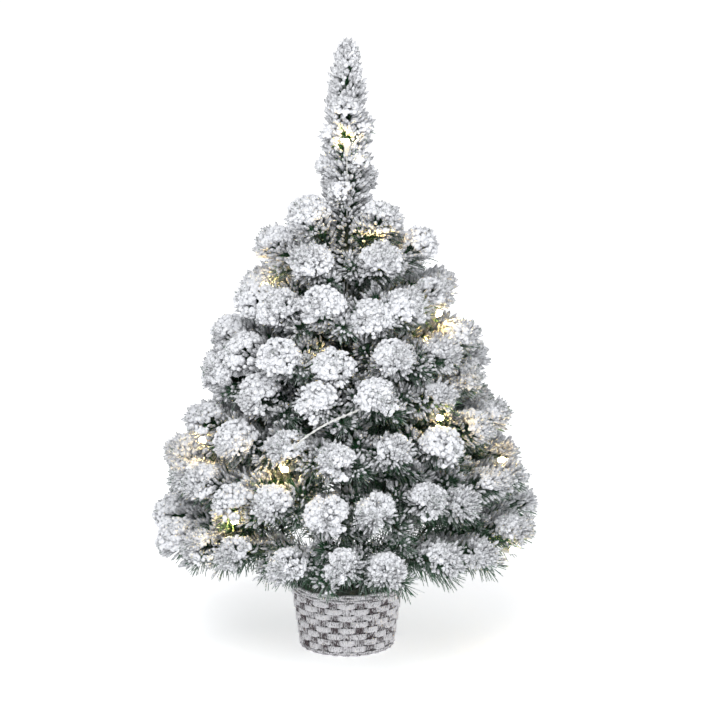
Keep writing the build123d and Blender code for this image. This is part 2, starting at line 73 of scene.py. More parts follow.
# ------------------------------------------------------------------ sizes and colours
class FoliageSizes(bpy.types.PropertyGroup):
    """Needles and flock of one bushy twig"""

    needle_length: FloatProperty(
        name="Needle length", description="Length of a needle on a full twig",
        default=26.0 * MM, unit="LENGTH",
    )
    needle_width: FloatProperty(
        name="Needle width", description="Width of a cut film needle", default=0.95 * MM, unit="LENGTH",
    )
    needle_spacing: FloatProperty(
        name="Needle spacing", description="Length of twig for one needle", default=0.15 * MM,
        unit="LENGTH",
    )
    flock_radius: FloatProperty(
        name="Flock radius", description="Radius of the flock on one needle", default=2.1 * MM,
        unit="LENGTH",
    )
    flock_share: FloatProperty(
        name="Flock share", description="Share of a needle's length that flock covers",
        default=0.56, subtype="FACTOR",
    )
    flock_roughness: FloatProperty(
        name="Flock unevenness", description="How far crumbs of flock stand out", default=2.4 * MM,
        unit="LENGTH",
    )
    crust_roughness: FloatProperty(
        name="Crust unevenness", description="How far crumbs of the crust stand out", default=3.2 * MM,
        unit="LENGTH",
    )
    wire_radius: FloatProperty(
        name="Wire radius", description="Radius of a taped twig wire", default=1.1 * MM, unit="LENGTH",
    )
    seed: IntProperty(name="Seed", description="Seed of the foliage's randomness", default=11)


class LampSizes(bpy.types.PropertyGroup):
    """Small lamps of the light string"""

    bulb_radius: FloatProperty(
        name="Bulb radius", description="Radius of a lamp's dome", default=2.5 * MM, unit="LENGTH",
    )
    bulb_length: FloatProperty(
        name="Bulb length", description="Length of a lamp in front of its holder", default=6.0 * MM,
        unit="LENGTH",
    )
    holder_radius: FloatProperty(
        name="Holder radius", description="Radius of a lamp's holder", default=3.0 * MM, unit="LENGTH",
    )
    holder_length: FloatProperty(
        name="Holder length", description="Length of a lamp's holder", default=11.0 * MM, unit="LENGTH",
    )
    lead_radius: FloatProperty(
        name="Lead radius", description="Radius of one strand of a lead", default=0.45 * MM,
        unit="LENGTH",
    )
    glow: FloatProperty(name="Glow", description="Strength of a lamp's light", default=150.0)


class Colours(bpy.types.PropertyGroup):
    """Main colours of the object"""

    flock: FloatVectorProperty(
        name="Flock", description="Colour of the flock", subtype="COLOR", default=(0.9, 0.91, 0.94),
    )
    needle: FloatVectorProperty(
        name="Needle", description="Colour of a bare needle", subtype="COLOR", default=(0.02, 0.088, 0.034),
    )
    whitewash: FloatVectorProperty(
        name="Whitewash", description="Colour of the wash on the reeds", subtype="COLOR",
        default=(0.78, 0.765, 0.79),
    )
    reed: FloatVectorProperty(
        name="Reed", description="Colour of bare reed in the crevices", subtype="COLOR",
        default=(0.07, 0.05, 0.055),
    )
    lamp: FloatVectorProperty(
        name="Lamp light", description="Colour of the lamps' light", subtype="COLOR",
        default=(1.0, 0.64, 0.2),
    )


class StudioSizes(bpy.types.PropertyGroup):
    """Camera and lights"""

    camera_distance: FloatProperty(
        name="Camera distance", description="Level distance from the trunk to the camera", default=5.0,
        unit="LENGTH",
    )
    camera_height: FloatProperty(
        name="Camera height", description="Height of the camera", default=1.66, unit="LENGTH",
    )
    aim_height: FloatProperty(
        name="Aim height", description="Height on the trunk that the camera aims at", default=0.2936,
        unit="LENGTH",
    )
    aim_side: FloatProperty(
        name="Aim side", description="How far to the right of the trunk the camera stands and aims",
        default=0.0073, unit="LENGTH",
    )
    frame_width: FloatProperty(
        name="Frame width", description="Width that the frame shows at the trunk", default=0.688,
        unit="LENGTH",
    )
    sky_strength: FloatProperty(name="Sky", description="Strength of the soft surround", default=0.42)
    floor_glow: FloatProperty(name="Floor glow", description="Light given off by the floor", default=0.5)
    key_power: FloatProperty(name="Key light", description="Power of the large key light", default=86.0)
    fill_power: FloatProperty(name="Fill light", description="Power of the fill light", default=15.0)


# ------------------------------------------------------------------ materials
class Shader:
    """A node material built from the principled shader outwards."""

    def __init__(self, name, colour=(0.5, 0.5, 0.5), roughness=0.5, **plain):
        self.material = bpy.data.materials.new(name)
        self.material.use_nodes = True
        self.tree = self.material.node_tree
        self.surface = self.tree.nodes["Principled BSDF"]
        self.surface.inputs["Base Color"].default_value = (*colour, 1.0)
        self.surface.inputs["Roughness"].default_value = roughness
        for socket, value in plain.items():
            self.surface.inputs[socket.replace("_", " ")].default_value = value
        self.place = self.add("ShaderNodeTexCoord").outputs["Object"]

    def add(self, kind, **inputs):
        node = self.tree.nodes.new(kind)
        for name, value in inputs.items():
            self.feed(node.inputs[name.replace("_", " ")], value)
        return node

    def feed(self, socket, value):
        if isinstance(value, bpy.types.NodeSocket):
            self.tree.links.new(value, socket)
        else:
            socket.default_value = value

    def stretched(self, scale):
        """Object coordinates scaled on each axis."""
        node = self.add("ShaderNodeMapping", Vector=self.place)
        node.inputs["Scale"].default_value = scale
        return node.outputs["Vector"]

    def noise(self, scale, detail=4.0, roughness=0.6, place=None):
        node = self.add("ShaderNodeTexNoise", Vector=place or self.place, Scale=scale, Detail=detail)
        node.inputs["Roughness"].default_value = roughness
        return node.outputs["Fac"]

    def ramp(self, value, stops):
        """Colours along a value; each stop is a place and a colour."""
        node = self.add("ShaderNodeValToRGB", Fac=value)
        elements = node.color_ramp.elements
        while len(elements) < len(stops):
            elements.new(0.5)
        for element, (place, colour) in zip(elements, stops):
            element.position = place
            element.color = (*colour, 1.0)
        return node.outputs["Color"]

    def grey(self, value, low, high):
        """Map a value's range low..high to 0..1."""
        node = self.add("ShaderNodeMapRange", Value=value)
        node.inputs["From Min"].default_value = low
        node.inputs["From Max"].default_value = high
        return node.outputs["Result"]

    def mix(self, share, first, second):
        node = self.tree.nodes.new("ShaderNodeMix")
        node.data_type = "RGBA"
        self.feed(node.inputs[0], share)
        for socket, value in ((node.inputs[6], first), (node.inputs[7], second)):
            self.feed(socket, value if isinstance(value, bpy.types.NodeSocket) else (*value, 1.0))
        return node.outputs[2]

    def sum(self, first, second, operation="ADD"):
        node = self.tree.nodes.new("ShaderNodeMath")
        node.operation = operation
        self.feed(node.inputs[0], first)
        self.feed(node.inputs[1], second)
        return node.outputs[0]

    def normal_z(self):
        geometry = self.add("ShaderNodeNewGeometry")
        split = self.add("ShaderNodeSeparateXYZ", Vector=geometry.outputs["Normal"])
        return split.outputs["Z"]

    def colour(self, value):
        self.feed(self.surface.inputs["Base Color"], value)

    def rough(self, value):
        self.feed(self.surface.inputs["Roughness"], value)

    def bump(self, height, distance, strength=1.0):
        node = self.add("ShaderNodeBump", Height=height)
        node.inputs["Distance"].default_value = distance
        node.inputs["Strength"].default_value = strength
        self.tree.links.new(node.outputs["Normal"], self.surface.inputs["Normal"])


def scaled(colour, factor):
    return tuple(min(1.0, channel * factor) for channel in colour)


def flock_finish(colours):
    """Crumbly white flock, with painted shade in the hollows of its bump and painted highlights on its raised
    crumbs.
    """
    shade = Shader("flock", roughness=0.92, Sheen_Weight=0.25, Sheen_Roughness=0.6)
    crumbs = shade.noise(420.0, 5.0, 0.65)
    # Painted shade and highlight: the colour follows the same noise as the bump, darker in its hollows and lighter
    # on its raised crumbs.
    hollow, level, raised_highlight = (scaled(colours.flock, factor) for factor in (0.86, 1.02, 1.07))
    shade.colour(shade.ramp(crumbs, ((0.3, hollow), (0.46, level), (0.7, raised_highlight))))
    fine = shade.noise(1500.0, 3.0, 0.7)
    shade.bump(shade.sum(crumbs, fine), 0.9 * MM, 0.9)
    return shade.material


def rime_finish(colours):
    """Thin greyish flock on single needles."""
    shade = Shader("rime", roughness=0.92, Sheen_Weight=0.2, Sheen_Roughness=0.6)
    crumbs = shade.noise(300.0, 5.0, 0.65)
    bare, thin = (scaled(colours.flock, factor) for factor in (0.18, 0.68))
    shade.colour(shade.ramp(crumbs, ((0.34, bare), (0.46, thin), (0.64, colours.flock))))
    shade.bump(shade.sum(crumbs, shade.noise(1500.0, 3.0, 0.7)), 0.9 * MM, 0.9)
    return shade.material


def needle_finish(colours):
    """Dark green film with a dusting of flock on its upper faces; the dusted tops are partly painted light, and
    the bare undersides are painted shade.
    """
    shade = Shader("needle film", roughness=0.42, Coat_Weight=0.08)
    green = shade.ramp(
        shade.noise(160.0),
        (
            (0.3, scaled(colours.needle, 0.55)),
            (0.52, colours.needle),
            (0.75, scaled(colours.needle, 2.2)),
        ),
    )
    patches = shade.grey(shade.noise(190.0, 5.0, 0.7), 0.44, 0.6)
    # Flock dust on upward faces, partly real dust and partly painted light: lighter tops, with the undersides left
    # dark as painted shade.
    upward = shade.grey(shade.normal_z(), 0.05, 0.85)
    dust_and_top_light = shade.sum(patches, upward, "MULTIPLY")
    shade.colour(shade.mix(dust_and_top_light, green, scaled(colours.flock, 0.8)))
    shade.rough(shade.grey(shade.noise(300.0), -0.4, 1.3))
    shade.bump(shade.noise(900.0), 0.2 * MM, 0.5)
    return shade.material


def wire_finish(colours):
    """Brown-green tape wound over twisted wire."""
    shade = Shader("taped wire", roughness=0.7)
    turns = shade.add("ShaderNodeTexWave", Vector=shade.place, Scale=420.0, Distortion=3.0)
    shade.colour(shade.ramp(turns.outputs["Fac"], ((0.2, (0.02, 0.03, 0.015)), (0.8, (0.07, 0.075, 0.04)))))
    shade.bump(turns.outputs["Fac"], 0.3 * MM, 0.7)
    return shade.material


# Whitewashed reeds: material name, where the wash starts and is whole, fineness of the dashes, patchiness.
WASHED = {
    "wash": ("whitewashed reed", 0.36, 0.49, 950.0, 0.25),
    "reed": ("streaked reed", 0.45, 0.6, 800.0, 0.6),
    "strand": ("strand", 0.38, 0.56, 800.0, 0.3),
}


def washed_finish(colours, name, low, high, fine, patchy):
    """Whitewash worn off in small dashes down to dark reed."""
    shade = Shader(name, roughness=0.8)
    worn = shade.noise(fine, 6.0, 0.75, shade.stretched((1.0, 1.0, 0.45)))
    broad = shade.noise(75.0, 3.0)
    worn = shade.sum(worn, shade.sum(shade.sum(broad, 0.5, "SUBTRACT"), patchy, "MULTIPLY"))
    shade.colour(
        shade.ramp(
            worn,
            (
                (low, colours.reed),
                (low + (high - low) * 0.45, scaled(colours.whitewash, 0.62)),
                (high, colours.whitewash),
                (0.85, scaled(colours.whitewash, 1.12)),
            ),
        )
    )
    shade.bump(shade.sum(worn, shade.noise(1400.0, 3.0)), 0.5 * MM, 0.8)
    return shade.material


# Plain stuffs: material name, colours along the grain, fineness of the grain, roughness, depth of the bump.
GRAINED = {
    "liner": (
        "liner film", ((0.3, (0.015, 0.015, 0.016)), (0.7, (0.05, 0.05, 0.052))), 240.0, 0.4, 0.15 * MM,
    ),
    "cement": (
        "cement", ((0.25, (0.16, 0.155, 0.15)), (0.5, (0.36, 0.35, 0.34)), (0.8, (0.5, 0.49, 0.47))),
        130.0, 0.9, 0.9 * MM,
    ),
    "pole": (
        "painted pole", ((0.3, (0.02, 0.04, 0.02)), (0.7, (0.05, 0.085, 0.045))), 200.0, 0.45, 0.08 * MM,
    ),
    "binding": (
        "binding wire", ((0.3, (0.03, 0.045, 0.025)), (0.7, (0.1, 0.12, 0.08))), 500.0, 0.4, 0.05 * MM,
    ),
    "case": (
        "moulded case", ((0.3, (0.018, 0.032, 0.02)), (0.7, (0.045, 0.07, 0.045))), 900.0, 0.5, 0.06 * MM,
    ),
    "switch": (
        "switch", ((0.3, (0.008, 0.008, 0.008)), (0.7, (0.03, 0.03, 0.03))), 900.0, 0.4, 0.05 * MM,
    ),
    "cell": (
        "cell sleeve", ((0.3, (0.05, 0.06, 0.08)), (0.7, (0.14, 0.16, 0.19))), 150.0, 0.3, 0.03 * MM,
    ),
}


def grained_finish(name, stops, scale, roughness, depth):
    """Plain stuff with a mottled colour and a fine bump."""
    shade = Shader(name, roughness=roughness)
    grain = shade.noise(scale, 5.0)
    shade.colour(shade.ramp(grain, stops))
    shade.rough(shade.sum(shade.sum(grain, 0.3, "MULTIPLY"), roughness - 0.15))
    shade.bump(shade.sum(grain, shade.noise(scale * 4.0)), depth, 0.6)
    return shade.material


def plywood_finish(colours):
    """Thin birch board with long grain."""
    shade = Shader("plywood", roughness=0.65)
    grain = shade.noise(60.0, 6.0, 0.6, shade.stretched((0.15, 1.6, 1.0)))
    stops = ((0.3, (0.34, 0.22, 0.12)), (0.55, (0.55, 0.4, 0.24)), (0.75, (0.66, 0.5, 0.32)))
    shade.colour(shade.ramp(grain, stops))
    shade.bump(grain, 0.2 * MM, 0.6)
    return shade.material


def tape_finish(colours):
    """Crepe tape wound round the trunk."""
    shade = Shader("wound tape", roughness=0.75)
    creases = shade.noise(260.0, 5.0, 0.6, shade.stretched((1.0, 1.0, 3.0)))
    frost = shade.grey(shade.noise(90.0, 5.0, 0.7), 0.52, 0.66)
    green = shade.ramp(creases, ((0.3, (0.018, 0.03, 0.014)), (0.7, (0.07, 0.085, 0.045))))
    shade.colour(shade.mix(frost, green, scaled(colours.flock, 0.55)))
    shade.bump(creases, 0.4 * MM, 0.8)
    return shade.material


def lead_finish(colours):
    """Pale insulated wire with a little flock on it."""
    shade = Shader("pale lead", roughness=0.45, Coat_Weight=0.2)
    frost = shade.noise(260.0, 5.0, 0.7)
    stops = ((0.35, (0.5, 0.5, 0.47)), (0.55, (0.68, 0.68, 0.66)), (0.75, colours.flock))
    shade.colour(shade.ramp(frost, stops))
    shade.rough(shade.grey(frost, -0.2, 1.0))
    shade.bump(frost, 0.4 * MM, 0.6)
    return shade.material


def holder_finish(colours):
    """Milky moulded lamp holder."""
    shade = Shader("lamp holder", roughness=0.35, Coat_Weight=0.3, Subsurface_Weight=0.15)
    shade.surface.inputs["Subsurface Radius"].default_value = (0.004, 0.003, 0.002)
    cloud = shade.noise(220.0, 4.0)
    shade.colour(shade.ramp(cloud, ((0.3, (0.62, 0.58, 0.48)), (0.7, (0.82, 0.79, 0.7)))))
    shade.bump(cloud, 0.1 * MM, 0.4)
    return shade.material


def bulb_finish(colours):
    """Warm lamp, a little brighter in places."""
    lamps = bpy.context.scene.tree_lamps
    shade = Shader("lamp light", roughness=0.2, Coat_Weight=0.5)
    glow = shade.ramp(
        shade.noise(300.0, 2.0),
        ((0.3, colours.lamp), (0.7, (colours.lamp[0], colours.lamp[1] * 1.2, colours.lamp[2] * 1.5))),
    )
    shade.colour(glow)
    shade.feed(shade.surface.inputs["Emission Color"], glow)
    shade.surface.inputs["Emission Strength"].default_value = lamps.glow
    return shade.material


def contact_finish(colours):
    """Nickelled spring strip."""
    shade = Shader("nickelled strip", roughness=0.3, Metallic=1.0)
    brushed = shade.noise(300.0, 4.0, 0.6, shade.stretched((1.0, 0.2, 4.0)))
    shade.colour(shade.ramp(brushed, ((0.3, (0.5, 0.49, 0.46)), (0.7, (0.78, 0.77, 0.74)))))
    shade.rough(shade.grey(brushed, -0.3, 1.8))
    shade.bump(brushed, 0.05 * MM, 0.5)
    return shade.material


# ------------------------------------------------------------------ mesh helpers
def new_piece(name, mesh, body, replaced=()):
    """Link a finished mesh as a piece of the object."""
    piece = bpy.data.objects.new(name, mesh)
    bpy.context.scene.collection.objects.link(piece)
    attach(piece, body)
    if replaced:
        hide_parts(*replaced)
    return piece


def mesh_points(node):
    """The CAD node's points, each once."""
    found = {tuple(round(value, 6) for value in vertex.co) for vertex in frame["nodes"][node].data.vertices}
    return [Vector(point) for point in sorted(found)]


def islands(node):
    """The points of each separate solid of a CAD node."""
    mesh = bmesh.new()
    mesh.from_mesh(frame["nodes"][node].data)
    bmesh.ops.remove_doubles(mesh, verts=mesh.verts, dist=1e-6)
    groups = []
    seen = set()
    for first in mesh.verts:
        if first in seen:
            continue
        seen.add(first)
        waiting = [first]
        group = []
        while waiting:
            vertex = waiting.pop()
            group.append(vertex.co.copy())
            for edge in vertex.link_edges:
                other = edge.other_vert(vertex)
                if other not in seen:
                    seen.add(other)
                    waiting.append(other)
        groups.append(group)
    mesh.free()
    return groups


def trunk_distance(point):
    return math.hypot(point.x, point.y)


def middle(points):
    return sum(points, Vector()) / len(points)


def round_tip(points, start):
    """Centre and radius of the ball that ends a twig, fitted to the points furthest from start."""
    far = max(points, key=lambda point: (point - start).length)
    near = numpy.array([point for point in points if (point - far).length < TIP_FIT])
    sides = numpy.hstack((2 * near, numpy.ones((len(near), 1))))
    solved = numpy.linalg.lstsq(sides, (near**2).sum(axis=1), rcond=None)[0]
    centre = Vector(solved[:3])
    return centre, math.sqrt(solved[3] + centre.length_squared)


# ------------------------------------------------------------------ twigs read from the frame
TIP_SHARE = 0.84
TIP_ROOM = 26.0 * MM
TIP_FIT = 11.0 * MM
MIDDLE_FORK_SHARE = 0.44
SIDE_FORK_SHARE = 0.30
SIDE_BEARING = math.radians(20.0)
STEM_ROOT = 15.0 * MM
TIP_NEEDLE_ROOM = 17.0 * MM


class Twig:
    """One bushy twig: where it leaves the stem and where its needles end."""

    def __init__(self, start, end):
        self.start = start
        self.end = end
        self.direction = (end - start).normalized()
        self.length = (end - start).length
        self.wire_end = end - self.direction * TIP_NEEDLE_ROOM


def bearing_from(bearing, point):
    """Turn round the trunk from a bearing to a point."""
    turn = math.atan2(point.y, point.x) - bearing
    return (turn + math.pi) % (2 * math.pi) - math.pi


def round_tips(points, root, bearing):
    """The balls that end a branch's twigs, in order of bearing."""
    reach = max(trunk_distance(point) for point in points)
    left = [point for point in points if trunk_distance(point) > TIP_SHARE * reach]
    tips = []
    while left:
        centre, radius = round_tip(left, root)
        tips.append((centre, centre + (centre - root).normalized() * radius, radius))
        left = [point for point in left if (point - centre).length > TIP_ROOM]
    tips.sort(key=lambda tip: bearing_from(bearing, tip[0]))
    return tips


def branch_twigs(body):
    """Where a folding branch's stem leaves the trunk, and its twigs."""
    root = Vector(JOINTS[body]["pos_m"])
    outward = Vector((root.x, root.y, 0.0)).normalized()
    bearing = math.atan2(root.y, root.x)
    tips = round_tips(mesh_points(body), root, bearing)
    slopes = [(end.z - root.z) / (trunk_distance(end) - trunk_distance(root)) for _, end, _ in tips]
    slope = sum(slopes) / len(slopes)
    reach = sum(trunk_distance(end) for _, end, _ in tips) / len(tips)
    twigs = []
    for centre, end, radius in tips:
        share = SIDE_FORK_SHARE if abs(bearing_from(bearing, end)) > SIDE_BEARING else MIDDLE_FORK_SHARE
        run = share * reach - trunk_distance(root)
        start = root + outward * run + UP * (slope * run)
        twigs.append(Twig(start, centre + (centre - start).normalized() * radius))
    return root, twigs


def solid_twigs(node):
    """Twigs of a node whose every solid is one twig."""
    twigs = []
    for points in islands(node):
        start = middle(sorted(points, key=trunk_distance)[:12])
        centre, radius = round_tip(points, start)
        twigs.append(Twig(start, centre + (centre - start).normalized() * radius))
    return twigs


# ------------------------------------------------------------------ lamps read from the frame
LAMP_LENGTH = 17.0 * MM
BULB_SHARE = 5.5 * MM
DOME_FIT = 2.4 * MM


class Lamp:
    """One lamp: its bulb's end, the foot of its holder and the corners of its lead."""

    def __init__(self, node, points):
        self.node = node
        self.body = BODY_OF_NODE[node]
        inner = min(points, key=lambda point: trunk_distance(point) + point.z)
        far = max(points, key=lambda point: (point - inner).length)
        holder = [point for point in points if BULB_SHARE < (point - far).length < LAMP_LENGTH + 0.5 * MM]
        dome = [point for point in points if (point - far).length < DOME_FIT]
        guess = (middle(dome) - middle(holder)).normalized()
        far = max(points, key=lambda point: (point - middle(holder)).dot(guess))
        self.direction = (far - middle(holder)).normalized()
        self.bulb = far
        self.foot = far - self.direction * LAMP_LENGTH
        ends = sorted(points, key=lambda point: (point - inner).length)
        self.inner = middle(ends[:8])
        self.corner = min(
            (self.foot - self.direction * step * 4 * MM for step in range(1, 40)),
            key=lambda corner: self.misfit(points, corner),
        )

    def misfit(self, points, corner):
        """How far the lead's points are from straight runs through a corner."""
        total = 0.0
        for point in points:
            if (point - self.bulb).length < LAMP_LENGTH + 2 * MM:
                continue
            total += min(
                from_segment(point, self.inner, corner), from_segment(point, corner, self.foot)
            )
        return total


def from_segment(point, start, end):
    """Distance from a point to a straight run."""
    span = end - start
    share = max(0.0, min(1.0, (point - start).dot(span) / max(span.length_squared, 1e-12)))
    return (point - start - span * share).length


def read_lamps():
    return [Lamp(node, points) for node in LAMP_NODES for points in islands(node)]


LAMPS = read_lamps()


# ------------------------------------------------------------------ lines that carry needles
# Each point of a line carries: needle length, steepest and flattest rake in degrees, snow and density.
class Line:
    """A piece of twig that carries needles, with what its needles are like at each point."""

    def __init__(self):
        self.points = []
        self.values = []

    def add(self, point, length, low, high, snow, density):
        self.points.append(point)
        self.values.append((length, math.radians(low), math.radians(high), snow, density))
        return self


def tip_line(start, end, full, snow, density, bare_share=0.0):
    """A twig from a bare foot to a rounded bushy tip."""
    span = end - start
    line = Line()
    foot = start + span * bare_share
    line.add(foot, 0.55 * full, 46, 64, 0.25 * snow, 0.35 * density)
    line.add(foot + (end - foot) * 0.45, 0.95 * full, 46, 62, 0.5 * snow, 0.5 * density)
    tip_start = end - span.normalized() * 9.0 * MM
    line.add(tip_start, full, 38, 60, snow, 0.8 * density)
    line.add(end, 0.95 * full, 0, 52, snow, density)
    return line


def sag(start, end, drop, count=3):
    """Points between start and end that hang a little below the straight line."""
    points = []
    for step in range(1, count + 1):
        share = step / (count + 1)
        points.append(start.lerp(end, share) - UP * drop * 4 * share * (1 - share))
    return points


def side_sprigs(twig, rng, full, snow):
    """Shorter sprigs that fill the room between one twig and the next."""
    lines = []
    across = twig.direction.cross(UP).normalized()
    lift = across.cross(twig.direction).normalized()
    places = ((1, 0.34, 32, 16), (-1, 0.44, 34, -16), (rng.choice((-1, 1)), 0.14, 16, 36))
    for side, share, turn, rise in places:
        turn = math.radians(turn + rng.uniform(-6, 6))
        rise = math.radians(rise + rng.uniform(-8, 8))
        start = twig.start.lerp(twig.wire_end, share)
        heading = twig.direction * math.cos(turn) + across * side * math.sin(turn)
        heading = (heading * math.cos(rise) + lift * math.sin(rise)).normalized()
        end = start + heading * twig.length * rng.uniform(0.36, 0.44)
        lines.append(tip_line(start, end, 0.85 * full, 0.55 * snow, 0.55, 0.2))
    return lines


def tip_cluster(twig, snow):
    """Extra needles that close the middle of a tip."""
    lines = []
    for back in (4.0 * MM, 2.5 * MM, 1.0 * MM):
        inner = twig.wire_end - twig.direction * back
        line = Line()
        line.add(inner, 0.95, 6, 40, snow, 1.0)
        line.add(twig.wire_end + twig.direction * 0.5 * MM, 0.9, 0, 46, snow, 1.0)
        lines.append(line)
    return lines


def leader_crust(foot, top, rng, lamps):
    """Crumbs scattered up the leader, closest together in two bands that wind round it as it rises."""
    crumbs = []
    span = (top - foot).length
    for _ in range(LEADER_CRUMBS):
        share = rng.random()
        turn = rng.uniform(0, 2 * math.pi)
        facing = Vector((math.cos(turn), math.sin(turn), rng.uniform(0.2, 0.9))).normalized()
        if rng.random() > 0.45 + 0.4 * math.sin(9 * share + 2 * turn):
            continue
        out = (20.0 - 11.0 * share ** 2) * MM * rng.uniform(0.75, 1.02)
        place = foot + UP * (share * span + 10 * MM) + facing * out
        if any((place - lamp).length < LAMP_ROOM for lamp in lamps):
            continue
        crumbs.append((place, facing, rng.uniform(1.8, 3.0) * MM))
    return crumbs


def branch_lines(root, twigs, rng, snow=1.0):
    """All lines of one branch: its stem, its twigs and their side sprigs."""
    lines = []
    inner = root + (Vector((root.x, root.y, 0)).normalized()) * (STEM_ROOT - 8 * MM)
    fork = max((twig.start for twig in twigs), key=trunk_distance)
    stem = Line()
    stem.add(inner, 0.6, 55, 80, 0.0, 0.16)
    stem.add(fork, 0.8, 50, 70, 0.15, 0.3)
    lines.append(stem)
    for twig in twigs:
        lines.append(tip_line(twig.start, twig.wire_end, 1.0, snow, 1.0, 0.08))
        lines.extend(tip_cluster(twig, snow))
        lines.extend(side_sprigs(twig, rng, 1.0, snow))
    return lines


LAMP_ROOM = 9.5 * MM
LINE_ATTRIBUTES = ("needle_scale", "rake_low", "rake_high", "snow", "density")


def line_object(name, lines):
    """A mesh of edges whose points carry the lines' values."""
    mesh = bpy.data.meshes.new(name)
    points = []
    edges = []
    values = []
    for line in lines:
        base = len(points)
        points.extend(line.points)
        values.extend(line.values)
        edges.extend((base + step, base + step + 1) for step in range(len(line.points) - 1))
    mesh.from_pydata(points, edges, [])
    for column, attribute in enumerate(LINE_ATTRIBUTES):
        layer = mesh.attributes.new(attribute, "FLOAT", "POINT")
        layer.data.foreach_set("value", [row[column] for row in values])
    lined = bpy.data.objects.new(name, mesh)
    bpy.context.scene.collection.objects.link(lined)
    return lined


# ------------------------------------------------------------------ geometry nodes
class Wiring:
    """Builds a geometry node tree, one node at a time."""

    def __init__(self, name):
        self.tree = bpy.data.node_groups.new(name, "GeometryNodeTree")
        self.names = {}
        self.socket("Geometry", "NodeSocketGeometry")
        self.tree.interface.new_socket("Geometry", in_out="OUTPUT", socket_type="NodeSocketGeometry")
        self.input = self.tree.nodes.new("NodeGroupInput")
        self.output = self.tree.nodes.new("NodeGroupOutput")

    def socket(self, name, kind, default=None):
        made = self.tree.interface.new_socket(name, in_out="INPUT", socket_type=kind)
        if default is not None:
            made.default_value = default
        self.names[name] = made.identifier
        return name

    def value(self, name):
        return self.input.outputs[name]

    def node(self, kind, inputs=None, **settings):
        made = self.tree.nodes.new(kind)
        for setting, value in settings.items():
            setattr(made, setting, value)
        for key, value in (inputs or {}).items():
            if isinstance(value, bpy.types.NodeSocket):
                self.tree.links.new(value, made.inputs[key])
            else:
                made.inputs[key].default_value = value
        return made

    def maths(self, operation, first, second=0.0, third=0.0):
        return self.node("ShaderNodeMath", {0: first, 1: second, 2: third}, operation=operation).outputs[0]

    def vector(self, operation, first, second=(0.0, 0.0, 0.0)):
        return self.node("ShaderNodeVectorMath", {0: first, 1: second}, operation=operation).outputs[0]

    def dot(self, first, second):
        made = self.node("ShaderNodeVectorMath", {0: first, 1: second}, operation="DOT_PRODUCT")
        return made.outputs["Value"]

    def scale(self, vector, factor):
        made = self.node("ShaderNodeVectorMath", {0: vector, "Scale": factor}, operation="SCALE")
        return made.outputs[0]

    def random(self, low, high, seed):
        made = self.node("FunctionNodeRandomValue", data_type="FLOAT")
        for key, value in ((2, low), (3, high), (8, seed)):
            if isinstance(value, bpy.types.NodeSocket):
                self.tree.links.new(value, made.inputs[key])
            else:
                made.inputs[key].default_value = value
        return made.outputs[1]

    def attribute(self, name):
        return self.node("GeometryNodeInputNamedAttribute", {"Name": name}, data_type="FLOAT").outputs[0]

    def xyz(self, x, y, z):
        return self.node("ShaderNodeCombineXYZ", {0: x, 1: y, 2: z}).outputs[0]

    def finish(self, geometry):
        self.tree.links.new(geometry, self.output.inputs[0])


